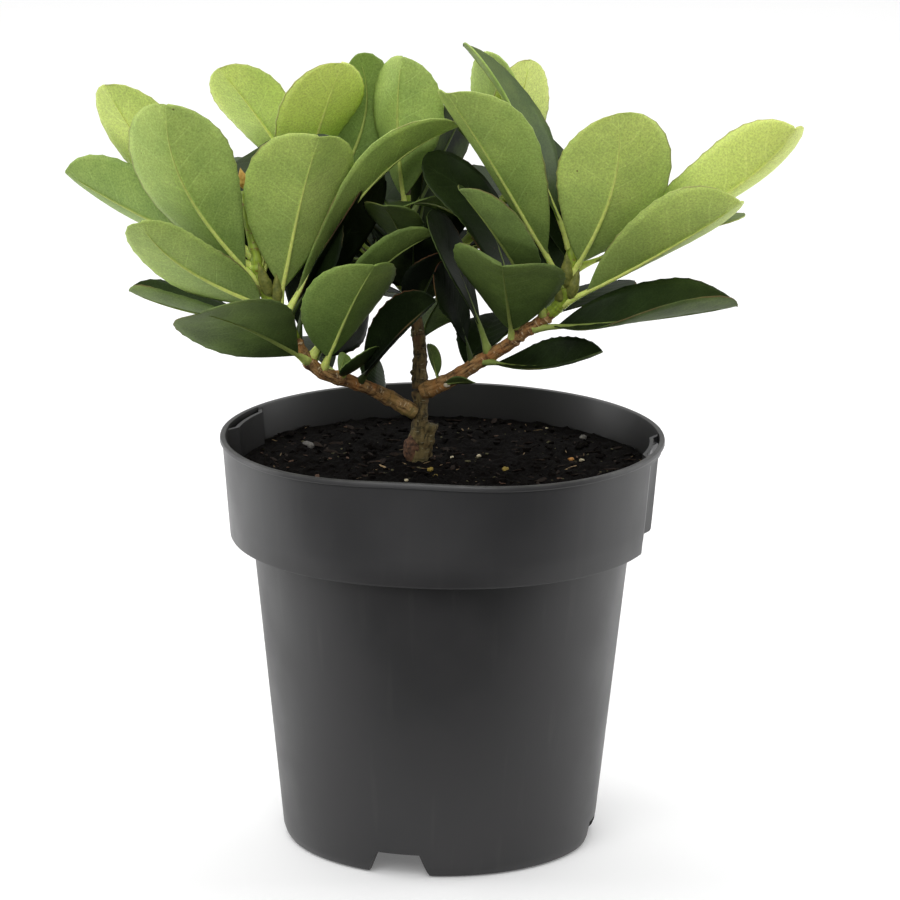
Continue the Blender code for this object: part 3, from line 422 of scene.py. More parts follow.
def pot_material():
    """Charcoal polypropylene, injection moulded: an even satin skin with soft clouds, mould streaks and rim scuffs."""
    material, shader, add = start_material("polypropylene_moulded", 0.42, 1.49)
    place = add("ShaderNodeTexCoord", out="Object")
    clouds = add("ShaderNodeTexNoise", {"Vector": place, "Scale": 1 / 0.035, "Detail": 3.0})
    tall = add("ShaderNodeMapping", {"Vector": place, "Scale": (1.0, 1.0, 0.06)})
    streaks = add("ShaderNodeTexNoise", {"Vector": tall, "Scale": 1 / 0.006, "Detail": 4.0})
    # The mould's grain is about 0.2 mm, drawn 0.7 mm so that it shows
    grain = add("ShaderNodeTexNoise", {"Vector": place, "Scale": 1 / 0.0007, "Detail": 2.0})
    cloudy = add("ShaderNodeMapRange", {0: clouds, 1: 0.3, 2: 0.7})
    colour = add("ShaderNodeMix", {0: cloudy, 6: "#222223", 7: "#292829"}, out=2, data_type="RGBA")
    mark = add("ShaderNodeMapRange", {0: streaks, 1: 0.58, 2: 0.75, 3: 0.0, 4: 0.25})
    colour = add("ShaderNodeMix", {0: mark, 6: colour, 7: "#3D3B3A"}, out=2, data_type="RGBA")
    height = add("ShaderNodeSeparateXYZ", {0: place}, out=2)
    bead = add("ShaderNodeMapRange", {0: height, 1: (POT_HEIGHT - BEAD_HEIGHT - 0.4) * MM, 2: POT_HEIGHT * MM})
    bead = add("ShaderNodeMath", {0: bead, 1: 3.0}, operation="POWER")
    worn = add("ShaderNodeMapRange", {0: streaks, 1: 0.4, 2: 0.62, 3: 0.25, 4: 0.6})
    worn = add("ShaderNodeMath", {0: worn, 1: bead}, operation="MULTIPLY")
    colour = add("ShaderNodeMix", {0: worn, 6: colour, 7: "#6A6866"}, out=2, data_type="RGBA")
    # Painted light: the collar is made a little lighter than the body below it
    painted_collar_light = add("ShaderNodeMapRange", {0: height, 1: SHOULDER * MM, 2: (SHOULDER + 8) * MM, 3: 0.0, 4: 0.5})
    colour = add("ShaderNodeMix", {0: painted_collar_light, 6: colour, 7: "#3C3C3D"}, out=2, data_type="RGBA")
    # A film of wet peat and painted shade darken the inner wall towards the mix
    normal = add("ShaderNodeNewGeometry", out="Normal")
    facing = add("ShaderNodeVectorMath", {0: place, 1: normal}, out="Value", operation="DOT_PRODUCT")
    inside = add("ShaderNodeMath", {0: facing, 1: 0.0}, operation="LESS_THAN")
    peat_film_and_shade = add("ShaderNodeMapRange", {0: height, 1: SOIL_TOP * MM, 2: (POT_HEIGHT - 2) * MM, 3: 0.8, 4: 0.35})
    peat_film_and_shade = add("ShaderNodeMath", {0: peat_film_and_shade, 1: inside}, operation="MULTIPLY")
    colour = add("ShaderNodeMix", {0: peat_film_and_shade, 6: colour, 7: "#12100E"}, out=2, data_type="RGBA")
    satin = add("ShaderNodeMapRange", {0: clouds, 1: 0.3, 2: 0.7, 3: 0.36, 4: 0.5})
    bump = add("ShaderNodeBump", {"Height": grain, "Strength": 0.35, "Distance": 0.06 * MM})
    connect(shader, Base_Color=colour, Roughness=satin, Normal=bump)
    return material


def finish_piece(name, bm, materials, replaced, sharp=None):
    """Turn bmesh into a shown piece that rides on the body and stands for its CAD nodes."""
    mesh = bpy.data.meshes.new(name)
    bm.to_mesh(mesh)
    bm.free()
    for material in materials:
        mesh.materials.append(material)
    mesh.shade_smooth()
    if sharp is not None:
        mesh.set_sharp_from_angle(angle=math.radians(sharp))
    obj = bpy.data.objects.new(name, mesh)
    bpy.context.scene.collection.objects.link(obj)
    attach(obj, "root")
    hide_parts(*replaced)
    return obj


def wrap_grid(bm, columns, rows, place, merge=0.0, uv=None, uv_at=None, paint=None, value=None):
    """A grid whose points go where place(u, v) says, with u and v from 0 to 1; merge closes seams and poles.

    The layer uv takes uv_at(u, v), and the layer paint takes value(v).
    """
    made = bmesh.ops.create_grid(bm, x_segments=columns, y_segments=rows, size=0.5)["verts"]
    shares = {vert: (vert.co.x + 0.5, vert.co.y + 0.5) for vert in made}
    if uv is not None:
        for face in {face for vert in made for face in vert.link_faces}:
            for loop in face.loops:
                loop[uv].uv = uv_at(*shares[loop.vert])
    for vert, (u, v) in shares.items():
        vert.co = place(u, v) * MM
        if paint is not None:
            vert[paint] = value(v)
    if merge:
        bmesh.ops.remove_doubles(bm, verts=made, dist=merge * MM)


def straight_along(path, position):
    """The point at a place such as 3.4, four tenths of the way from point 3 to point 4."""
    index = min(int(position), len(path) - 2)
    return Vector(path[index]).lerp(Vector(path[index + 1]), position - index)


def along(path, position):
    """A smooth point at a place such as 3.4 on a path, by Catmull-Rom between its points."""
    index = min(max(int(position), 0), len(path) - 2)
    t = position - index
    p1, p2 = Vector(path[index]), Vector(path[index + 1])
    p0 = Vector(path[index - 1]) if index > 0 else p1 * 2 - p2
    p3 = Vector(path[index + 2]) if index + 2 < len(path) else p2 * 2 - p1
    return 0.5 * (2 * p1 + (p2 - p0) * t + (2 * p0 - 5 * p1 + 4 * p2 - p3) * t * t
                  + (3 * p1 - p0 - 3 * p2 + p3) * t ** 3)


def between(values, share):
    """A value at a share from 0 to 1 along evenly spaced ones."""
    place = share * (len(values) - 1)
    index = min(int(place), len(values) - 2)
    return values[index] + (values[index + 1] - values[index]) * (place - index)


def start_limb():
    """An empty mesh with the layers that a stem's skin reads."""
    bm = bmesh.new()
    return bm, (bm.loops.layers.uv.new("limb"), bm.verts.layers.float.new("age"))


def limb(bm, layers, path, start, end, radii, rough=0.12, knots=(), age=(0.0, 0.0)):
    """A closed limb along part of a path, tapering over the whole path, with bark relief and leaf-scar knots."""
    steps = [along(path, start + (end - start) * i / 40) for i in range(41)]
    reach = sum((b - a).length for a, b in zip(steps, steps[1:]))
    rows = max(12, round(reach / LIMB_ROW))
    stations = []
    side = Vector((0.0, 1.0, 0.0))
    for i in range(rows + 1):
        position = start + (end - start) * i / rows
        point = along(path, position)
        axis = (along(path, position + 0.05) - along(path, position - 0.05)).normalized()
        side = (side - axis * side.dot(axis)).normalized()
        radius = between(radii, position / (len(path) - 1))
        swell = sum(size * math.exp(-((position - knot) / 0.09) ** 2) for knot, size in knots)
        stations.append((point, side.copy(), axis.cross(side), radius + swell))

    def place(u, v):
        index = round(v * rows)
        point, first, second, radius = stations[index]
        if index in (0, rows):
            return point
        if index == 1:
            point = stations[0][0]
        if index == rows - 1:
            point = stations[rows][0]
        angle = math.tau * u
        spot = point + (first * math.cos(angle) + second * math.sin(angle)) * radius
        bark = noise.noise(Vector((math.cos(angle) * 2, math.sin(angle) * 2, v * reach * 0.3)) + Vector(path[0]))
        return point + (spot - point) * (1 + rough * bark)

    wrap_grid(bm, LIMB_SIDES, rows, place, merge=0.01, uv=layers[0], uv_at=lambda u, v: (u, v * reach),
              paint=layers[1], value=lambda v: age[0] + (age[1] - age[0]) * v)


def bend(t):
    """Height of a leaf's bow at a share t of its length, fullest just past the middle."""
    return 4 * t * (1 - t) * (0.6 + 0.8 * t)


def blade_width(t, outline):
    """Share of a blade's full width at a share t of its length."""
    if t <= 0 or t >= 1:
        return 0.0
    low, high = outline
    widest = low / (low + high)
    return (t / widest) ** low * ((1 - t) / (1 - widest)) ** high


def leaf_frame(base, spec, t):
    """Middle point, sideways and upward directions of a leaf at a share t of its whole length."""
    turn, rise, roll = (math.radians(spec[key]) for key in ("turn", "rise", "roll"))
    heading = Vector((math.cos(rise) * math.cos(turn), math.cos(rise) * math.sin(turn), math.sin(rise)))
    level = heading.cross(Vector((0, 0, 1))).normalized()
    up = level.cross(heading) * math.cos(roll) + level * math.sin(roll)
    side = heading.cross(up)
    step = 0.001
    slope = (bend(t + step) - bend(t - step)) / (2 * step)
    bow = up * spec["arch"] + side * spec["sway"]
    point = base + (heading * t + bow * bend(t)) * spec["length"]
    forward = (heading + bow * slope).normalized()
    face = (up - forward * up.dot(forward)).normalized()
    across = forward.cross(face)
    share = max(0.0, (t - spec["stalk"]) / (1 - spec["stalk"]))
    twist = math.radians(spec["twist"]) * share
    turned = across * math.cos(twist) + face * math.sin(twist)
    return point, turned, face * math.cos(twist) - across * math.sin(twist)


def blade_share(v):
    """Share of the blade's length at a share v of its rows, which stand closer together at the two ends."""
    return 0.35 * v + 0.65 * (0.5 - 0.5 * math.cos(math.pi * v))


def add_leaf(blades, ribs, base, spec, seed, layers, rib_tone):
    """One leaf: a toothed, cupped and slightly waved blade, and its stalk running on as the midrib below."""
    rng = random.Random(seed)
    phase = rng.uniform(0, math.tau)
    ripple = rng.uniform(0.3, 0.9) * spec["width"] / 40
    stalk = spec["stalk"]
    fold = math.radians(spec["cup"])
    rows = []
    for j in range(BLADE_ROWS + 1):
        q = blade_share(j / BLADE_ROWS)
        point, across, face = leaf_frame(base, spec, stalk + (1 - stalk) * q)
        half = max(blade_width(q, spec["outline"]) * spec["width"] / 2, STALK_WIDTH * 0.4 if q < 0.5 else 0.6)
        tooth = TOOTH if j % 3 == 1 and q > 0.35 and half > 4 else 0.0
        rows.append((point, across, face, half, tooth, q))

    def blade_place(u, v):
        point, across, face, half, tooth, q = rows[round(v * BLADE_ROWS)]
        w = 2 * u - 1
        reach = half + (tooth if abs(w) > 0.99 else 0.0)
        lean = fold * (0.55 + 0.45 * abs(w))
        wave = ripple * abs(w) ** 2 * math.sin(phase + q * 9 + (1.7 if w > 0 else 0.0))
        quilt = QUILT * math.cos(math.tau * (q * VEIN_PAIRS - abs(w) * VEIN_SLOPE)) * (1 - abs(w))
        return point + across * w * reach * math.cos(lean) + face * (abs(w) * reach * math.sin(lean) + wave + quilt)

    wrap_grid(blades, BLADE_COLUMNS, BLADE_ROWS, blade_place, uv=layers[0], uv_at=lambda u, v: (u, blade_share(v)),
              paint=layers[1], value=lambda v: spec["tone"])
    marks = []
    for j in range(RIB_ROWS + 1):
        t = 0.95 * (j / RIB_ROWS) ** 1.15
        point, across, face = leaf_frame(base, spec, t)
        q = max(0.0, (t - stalk) / (1 - stalk))
        size = min(1.0, spec["length"] / 70)
        radius = (STALK_WIDTH / 2 * (1 - q) * (0.85 if q else 1.0) + 0.1) * size
        radius += 1.4 * math.exp(-(t * spec["length"] / 5.5) ** 2) * size
        marks.append((point - face * (LEAF_THICK + 0.1) * min(1.0, q * 8), across, face, radius))

    def rib_place(u, v):
        index = round(v * RIB_ROWS)
        point, across, face, radius = marks[index]
        if index in (0, RIB_ROWS):
            return point
        angle = math.tau * u
        return point + (across * math.cos(angle) + face * math.sin(angle)) * radius

    wrap_grid(ribs, RIB_SIDES, RIB_ROWS, rib_place, merge=0.005, paint=rib_tone,
              value=lambda v: spec["tone"] * (1 + (1 - v) ** 2) + 0.5 * min(1.0, 8 * spec["tone"]) * (1 - v) ** 4)


def hidden_leaves(seed, path, places, start, count, lean, sizes, sweep, keep):
    """Leaves of the side away from the picture, set out by the golden angle and a seeded spread."""
    rng = random.Random(seed)
    rows = []
    for i in range(count):
        share = i / (count - 1)
        place = places[0] + (places[1] - places[0]) * share
        swing = (i * GOLDEN_ANGLE) % sweep - sweep / 2
        length = sizes[0] + (sizes[1] - sizes[0]) * rng.random()
        rise = lean[0] + (lean[1] - lean[0]) * share
        rows.append(leaf(round(place, 2), start + swing, rise, rng.uniform(-20, 20), length,
                         length * HIDDEN_WIDTH_SHARE, arch=rng.uniform(0.02, 0.09), cup=10,
                         tone=0.15 + 0.1 * (i % 5)))
    return [rows[i] for i in keep]


def build_mass(name, leaves, path, start, end, radii, green_from, skins):
    """One mass of foliage: its shoot, brown below green_from, its blades and their ribs."""
    blades = bmesh.new()
    layers = (blades.loops.layers.uv.new("leaf"), blades.verts.layers.float.new("tone"))
    ribs = bmesh.new()
    rib_tone = ribs.verts.layers.float.new("tone")
    for i, spec in enumerate(leaves):
        add_leaf(blades, ribs, straight_along(path, spec["foot"]), spec, name + str(i), layers, rib_tone)
    blade_piece = finish_piece(name + "_blades", blades, [skins["upper"], skins["under"]], [name])
    solid = blade_piece.modifiers.new("Thickness", "SOLIDIFY")
    solid.thickness = LEAF_THICK * MM
    solid.offset = -1.0
    solid.material_offset = 1
    solid.material_offset_rim = 1
    finish_piece(name + "_ribs", ribs, [skins["rib"]], [name])
    knots = [(spec["foot"], 0.35) for spec in leaves]
    if green_from > start:
        bm, limb_layers = start_limb()
        limb(bm, limb_layers, path, start, green_from, radii, rough=0.12, knots=knots)
        finish_piece(name + "_twig", bm, [skins["bark"]], [name])
    bm, limb_layers = start_limb()
    limb(bm, limb_layers, path, max(start, green_from - 0.2), end, radii, rough=0.07, knots=knots)
    finish_piece(name + "_shoot", bm, [skins["shoot"]], [name])


def add_bud(name, base, tip, width, scales, skin, replaced):
    """A pointed bud of overlapping scales, on the end of a shoot."""
    bm = bmesh.new()
    start, axis = Vector(base), Vector(tip) - Vector(base)
    side = axis.cross(Vector((0, 1, 0))).normalized()
    other = axis.normalized().cross(side)

    def place(u, v):
        angle = math.tau * u
        step = (v * scales + u) % 1.0
        radius = width / 2 * math.sin(math.pi * v ** 0.7) * (1 + 0.16 * step) if 0 < v < 1 else 0.0
        return start + axis * v + (side * math.cos(angle) + other * math.sin(angle)) * radius

    wrap_grid(bm, 16, 24, place, merge=0.02)
    bmesh.ops.recalc_face_normals(bm, faces=bm.faces)
    finish_piece(name, bm, [skin], [replaced])


def dented(point):
    """Where a point of the pot or mix goes where the front of the rim is pressed in, fading down the wall."""
    away = (math.degrees(math.atan2(point.y, point.x)) - DENT_TURN + 180.0) % 360.0 - 180.0
    if point.z > SHOULDER:
        share = DENT_AT_SHOULDER + (1 - DENT_AT_SHOULDER) * (point.z - SHOULDER) / COLLAR_HEIGHT
    else:
        share = DENT_AT_SHOULDER * point.z / SHOULDER
    scale = 1 - DENT_DEPTH / RIM_RADIUS * share * math.exp(-(away / DENT_SPREAD) ** 2)
    return Vector((point.x * scale, point.y * scale, point.z))


def pot_profile():
    """The pot's wall in section, from the axis over the rim and down to the foot and back to the axis."""
    rise = BODY_TOP_RADIUS - BASE_RADIUS
    foot_inner = BASE_RADIUS - FOOT_RING_WIDTH
    floor_top = FLOOR_RAISE + FLOOR_WALL
    collar_top = RIM_RADIUS - BEAD_PROUD
    bead_foot = POT_HEIGHT - BEAD_HEIGHT
    collar = [(COLLAR_FOOT_RADIUS + 0.1 + COLLAR_LEAN * (z - SHOULDER), z)
              for z in (bead_foot - 10.0, bead_foot - 20.0, bead_foot - 30.0)]
    body = [(BASE_RADIUS + rise * z / SHOULDER, z) for z in (110.0, 90.0, 70.0, 50.0, 30.0, 15.0)]
    return [
        (0.0, floor_top), (BASE_RADIUS - 4.0, floor_top),
        (BASE_RADIUS + rise * floor_top / SHOULDER - WALL, floor_top + 3.0),
        (BODY_TOP_RADIUS - WALL, SHOULDER), (BODY_TOP_RADIUS - WALL, SHOULDER + WALL),
        (COLLAR_FOOT_RADIUS - WALL, SHOULDER + WALL), (collar_top - WALL, POT_HEIGHT - 1.0),
        (collar_top - WALL + 0.3, POT_HEIGHT - 0.3), (collar_top - WALL + 0.9, POT_HEIGHT),
        (RIM_RADIUS - 0.8, POT_HEIGHT), (RIM_RADIUS - 0.2, POT_HEIGHT - 0.3), (RIM_RADIUS, POT_HEIGHT - 0.9),
        (RIM_RADIUS, bead_foot + 0.6), (RIM_RADIUS - 0.3, bead_foot + 0.15), (collar_top, bead_foot),
        *collar, (COLLAR_FOOT_RADIUS + 0.1, SHOULDER + 1.0), (COLLAR_FOOT_RADIUS - 0.3, SHOULDER + 0.3),
        (COLLAR_FOOT_RADIUS - 1.0, SHOULDER), (BODY_TOP_RADIUS + 0.4, SHOULDER), (BODY_TOP_RADIUS, SHOULDER - 0.5),
        *body, (BASE_RADIUS + rise * 5.0 / SHOULDER, 5.0), (BASE_RADIUS - 0.4, 2.2), (BASE_RADIUS - 1.4, 0.7),
        (BASE_RADIUS - 3.0, 0.0), (foot_inner, 0.0), (foot_inner, FLOOR_RAISE), (PAD_RADIUS, FLOOR_RAISE),
        (PAD_RADIUS, 0.0), (0.0, 0.0),
    ]


def spin_profile(bm, profile, steps):
    """Spin a profile about the Z axis into a closed solid with its normals outward and the dent pressed in."""
    verts = [bm.verts.new(Vector((r, 0.0, z))) for r, z in profile]
    edges = [bm.edges.new(pair) for pair in zip(verts, verts[1:])]
    bmesh.ops.spin(bm, geom=verts + edges, cent=(0, 0, 0), axis=(0, 0, 1), angle=math.tau, steps=steps,
                   use_merge=True)
    bmesh.ops.remove_doubles(bm, verts=bm.verts, dist=0.001)
    for vert in bm.verts:
        vert.co = dented(vert.co) * MM
    bmesh.ops.recalc_face_normals(bm, faces=bm.faces)


def plain_object(name, bm):
    """An object that is only used while the pot is cut."""
    bmesh.ops.recalc_face_normals(bm, faces=bm.faces)
    mesh = bpy.data.meshes.new(name)
    bm.to_mesh(mesh)
    bm.free()
    obj = bpy.data.objects.new(name, mesh)
    bpy.context.scene.collection.objects.link(obj)
    return obj


def pocket_block(name, reach, shift, heights, turn):
    """A curved block about the axis that leans with the collar and spreads outward as the pockets do."""
    bm = bmesh.new()
    bmesh.ops.create_cube(bm, size=1.0)
    across = [edge for edge in bm.edges if abs(edge.verts[0].co.y - edge.verts[1].co.y) > 0.5]
    bmesh.ops.subdivide_edges(bm, edges=across, cuts=15, use_grid_fill=True)
    for vert in bm.verts:
        foot = reach[1] if vert.co.x > 0 else reach[0]
        half = POCKET_HALF_TURN + POCKET_SPREAD * (foot + shift - COLLAR_FOOT_RADIUS + POCKET_DEPTH)
        angle = math.radians(turn + 2 * vert.co.y * half)
        z = heights[1] if vert.co.z > 0 else heights[0]
        radius = foot + COLLAR_LEAN * (z - SHOULDER)
        vert.co = Vector((radius * math.cos(angle), radius * math.sin(angle), z)) * MM
    return plain_object(name, bm)


def drain_notch(name, turn):
    """A block whose top is narrower than its foot, through the foot ring."""
    bm = bmesh.new()
    bmesh.ops.create_cube(bm, size=1.0)
    for vert in bm.verts:
        top = vert.co.z > 0
        width = NOTCH_TOP_WIDTH if top else NOTCH_FOOT_WIDTH + 1.0
        radius = BASE_RADIUS + 5.0 if vert.co.x > 0 else BASE_RADIUS - FOOT_RING_WIDTH - 3.0
        vert.co = Vector((radius, math.copysign(width / 2, vert.co.y), NOTCH_HEIGHT if top else -1.0)) * MM
    bmesh.ops.rotate(bm, cent=(0, 0, 0), matrix=Matrix.Rotation(math.radians(turn), 3, "Z"), verts=bm.verts)
    return plain_object(name, bm)


def build_pot(material):
    """The pot: spun wall, two label pockets behind the lip and four drain notches in the foot."""
    bm = bmesh.new()
    spin_profile(bm, pot_profile(), POT_STEPS)
    wall = plain_object("pot_wall", bm)
    panel = COLLAR_FOOT_RADIUS - POCKET_DEPTH
    inner = COLLAR_FOOT_RADIUS - WALL
    cuts = []
    for i, turn in enumerate(POCKET_TURNS):
        cuts.append(("UNION", pocket_block(f"boss_{i}", (panel - WALL, inner + WALL / 2), POCKET_SIDE,
                                           (SHOULDER + WALL / 2, POT_HEIGHT - 1.3), turn)))
        cuts.append(("DIFFERENCE", pocket_block(f"slot_{i}", (panel, COLLAR_FOOT_RADIUS + 5.0), 0.0,
                                                (SHOULDER - 3.0, POT_HEIGHT - LIP_BAND), turn)))
        cuts.append(("DIFFERENCE", pocket_block(f"mouth_{i}", (panel, inner + 0.4), 0.0,
                                                (POT_HEIGHT - LIP_BAND - 1.5, POT_HEIGHT + 1.0), turn)))
    for i, turn in enumerate(NOTCH_TURNS):
        cuts.append(("DIFFERENCE", drain_notch(f"notch_{i}", turn)))
    for operation, other in cuts:
        modifier = wall.modifiers.new(other.name, "BOOLEAN")
        modifier.operation = operation
        modifier.solver = "EXACT"
        modifier.object = other
    bpy.context.view_layer.update()
    done = bpy.data.meshes.new_from_object(wall.evaluated_get(bpy.context.evaluated_depsgraph_get()))
    bm = bmesh.new()
    bm.from_mesh(done)
    for other in [wall] + [other for _, other in cuts]:
        bpy.data.objects.remove(other, do_unlink=True)
    finish_piece("pot_shell", bm, [material], ["pot"], sharp=32)


def soil_height(x, y):
    """Height of the mix's top: soft hills with clods and small pits in them."""
    hill = noise.noise(Vector((x * 0.04, y * 0.04, 1.0)))
    clod = abs(noise.noise(Vector((x * 0.16, y * 0.16, 4.0))))
    fine = noise.noise(Vector((x * 0.5, y * 0.5, 7.0)))
    mound = 2.2 * math.exp(-((x + 10) ** 2 + (y - 10) ** 2) / 90)
    return SOIL_TOP + 0.9 * hill + 2.8 * clod - 0.6 + 1.1 * fine + mound


def soil_reach(angle, z):
    """How far the mix reaches at a turn and a height above the shoulder, clear of the wall and the pockets."""
    foot = COLLAR_FOOT_RADIUS - WALL - GAP - 0.1
    for turn in POCKET_TURNS:
        away = abs((math.degrees(angle) - turn + 180.0) % 360.0 - 180.0)
        side = COLLAR_FOOT_RADIUS - POCKET_DEPTH - POCKET_SIDE - GAP - 0.1
        foot = min(foot, max(side + GAP, side + (away - POCKET_HALF_TURN) / POCKET_SPREAD))
    return foot + COLLAR_LEAN * (z - SHOULDER)


def on_soil(x, y, lift=0.0):
    """The shown place of a point on the mix's top, in metres."""
    return dented(Vector((x, y, soil_height(x, y) + lift))) * MM


def build_soil(mix, kinds, specks):
    """The filled mix with a lumpy top, crumbs, bark and fibres scattered on it, and a few single pale specks."""
    floor = FLOOR_RAISE + FLOOR_WALL + GAP
    foot = BASE_RADIUS + (BODY_TOP_RADIUS - BASE_RADIUS) * floor / SHOULDER - WALL - GAP
    side = [(BODY_TOP_RADIUS - WALL - GAP, SHOULDER + WALL + GAP), (BODY_TOP_RADIUS - WALL - GAP, SHOULDER),
            (foot, floor + 3.0), (BASE_RADIUS - 4.0 - GAP, floor), (0.0, floor)]
    rows = SOIL_RINGS + len(side) + 1

    def place(u, v):
        index = round(v * rows)
        angle = math.tau * u
        if index <= SOIL_RINGS:
            r = soil_reach(angle, SOIL_TOP) * index / SOIL_RINGS
            z = soil_height(r * math.cos(angle), r * math.sin(angle)) if index < SOIL_RINGS else SOIL_TOP - 0.4
        elif index == SOIL_RINGS + 1:
            z = SHOULDER + WALL + GAP
            r = soil_reach(angle, z)
        else:
            r, z = side[index - SOIL_RINGS - 2]
        return dented(Vector((r * math.cos(angle), r * math.sin(angle), z)))

    bm = bmesh.new()
    wrap_grid(bm, SOIL_STEPS, rows, place, merge=0.005)
    bmesh.ops.recalc_face_normals(bm, faces=bm.faces)
    finish_piece("soil_mix", bm, [mix], ["soil"], sharp=60)
    rng = random.Random(41)
    for name, material, count, low, high, long, flat in kinds:
        bm = bmesh.new()
        for _ in range(count):
            angle = rng.uniform(0, math.tau)
            size = low + (high - low) * rng.random() ** 2
            stretch = rng.uniform(*long)
            r = math.sqrt(rng.random()) * (soil_reach(angle, SOIL_TOP) - 2.0 - size * stretch / 2)
            spot = on_soil(r * math.cos(angle), r * math.sin(angle), size * flat * 0.2)
            turn = Matrix.Rotation(rng.uniform(0, math.tau), 4, "Z") @ Matrix.Rotation(rng.uniform(-0.6, 0.6), 4, "X")
            shape = Matrix.Diagonal((size * stretch, size, size * flat, 1.0))
            matrix = Matrix.Translation(spot) @ turn @ Matrix.Scale(MM, 4) @ shape
            made = bmesh.ops.create_icosphere(bm, subdivisions=1, radius=0.6, matrix=matrix)["verts"]
            for vert in made:
                vert.co += Vector((rng.uniform(-1, 1), rng.uniform(-1, 1), rng.uniform(-1, 1))) * size * flat * 0.2 * MM
        finish_piece("soil_" + name, bm, [material], ["soil"], sharp=25)
    for name, material, places in specks:
        bm = bmesh.new()
        for x, y, size, stretch, turn in places:
            shape = Matrix.Diagonal((size * stretch, size, size * 0.7, 1.0))
            matrix = (Matrix.Translation(on_soil(x, y, size * 0.3)) @ Matrix.Rotation(math.radians(turn), 4, "Z")
                      @ Matrix.Scale(MM, 4) @ shape)
            made = bmesh.ops.create_icosphere(bm, subdivisions=2, radius=0.5, matrix=matrix)["verts"]
            for vert in made:
                vert.co += Vector((0, 0, 1)) * noise.noise(vert.co * 900) * size * 0.3 * MM
        finish_piece("soil_" + name, bm, [material], ["soil"], sharp=40)


def build_wood(bark, trunk_bark, burl_bark, scar_skin):
    """Trunk with its flare, burl and cut stubs, and the three boughs."""
    bm, layers = start_limb()
    limb(bm, layers, TRUNK_PATH, 0, 2.0, (5.6, 4.9, 4.3, 3.4, 3.1, 3.1, 3.5), rough=0.3, knots=((0.62, 0.3), (1.3, 0.3)),
         age=(0.6, 0.25))
    finish_piece("trunk_bark", bm, [trunk_bark], ["trunk"])
    bm = bmesh.new()
    bmesh.ops.create_icosphere(bm, subdivisions=4, radius=1.0)
    for vert in bm.verts:
        lump = 1 + 0.2 * noise.noise(vert.co * 2.2) + 0.08 * noise.noise(vert.co * 7.0)
        vert.co = Vector((vert.co.x * 4.0, vert.co.y * 4.0, vert.co.z * 6.4)) * lump * MM
    bmesh.ops.translate(bm, vec=Vector((-12.6, 9.2, SOIL_TOP + 5.6)) * MM, verts=bm.verts)
    finish_piece("trunk_burl", bm, [burl_bark], ["trunk"])
    bm, layers = start_limb()
    limb(bm, layers, [(-8.0, 9.5, SOIL_TOP + 3.5), (-4.5, 8.5, SOIL_TOP + 17.0)], 0, 1, (2.7, 2.6, 2.1), rough=0.55,
         knots=((0.5, 0.6), (0.9, 0.5)), age=(0.3, 0.6))
    limb(bm, layers, [(-11.0, 13.5, 198.5), (-13.4, 12.4, 201.6)], 0, 1, (1.3, 1.1), rough=0.3, age=(0.9, 0.7))
    finish_piece("trunk_stubs", bm, [trunk_bark], ["trunk"])
    bm = bmesh.new()
    scar = Matrix.Translation(Vector((1.7, 5.2, 197.4)) * MM) @ Matrix.Diagonal((1.5 * MM, 0.5 * MM, 1.0 * MM, 1.0))
    bmesh.ops.create_icosphere(bm, subdivisions=2, radius=1.0, matrix=scar)
    finish_piece("bough_scar", bm, [scar_skin], ["right_bough"])
    boughs = (("left_bough", bark, LEFT_PATH, 2.1, LEFT_RADII, (0.5, 1.3), (1.0, 0.1)),
              ("right_bough", bark, RIGHT_PATH, 1.1, RIGHT_RADII, (0.25, 0.8), (0.35, 0.0)),
              ("centre_bough", trunk_bark, CENTRE_PATH, 4.1, CENTRE_RADII, (0.4, 1.2, 2.6), (0.3, 0.0)))
    for name, skin, path, end, radii, knots, age in boughs:
        bm, layers = start_limb()
        limb(bm, layers, path, 0, end, radii, rough=0.2, knots=[(knot, 0.35) for knot in knots], age=age)
        finish_piece(name + "_bark", bm, [skin], [name])


def soft_box(name, place, target, size, radiance):
    """A soft panel of light of a width and a height in metres; radiance is how bright its face is."""
    data = bpy.data.lights.new(name, "AREA")
    data.shape = "RECTANGLE"
    data.size, data.size_y = size
    data.energy = radiance * math.pi * size[0] * size[1]
    obj = bpy.data.objects.new(name, data)
    obj.location = place
    obj.rotation_euler = (Vector(target) - Vector(place)).to_track_quat("-Z", "Y").to_euler()
    obj.visible_camera = False
    bpy.context.scene.collection.objects.link(obj)


def lay_sheet(name, height, material, seen):
    """A wide level sheet of the stage, which either only the camera meets or only light does."""
    bm = bmesh.new()
    bmesh.ops.create_grid(bm, x_segments=1, y_segments=1, size=6.0)
    mesh = bpy.data.meshes.new(name)
    bm.to_mesh(mesh)
    bm.free()
    mesh.materials.append(material)
    sheet = bpy.data.objects.new(name, mesh)
    sheet.location.z = height
    sheet.visible_camera = seen
    sheet.visible_shadow = not seen
    sheet.visible_diffuse = not seen
    sheet.visible_glossy = not seen
    bpy.context.scene.collection.objects.link(sheet)


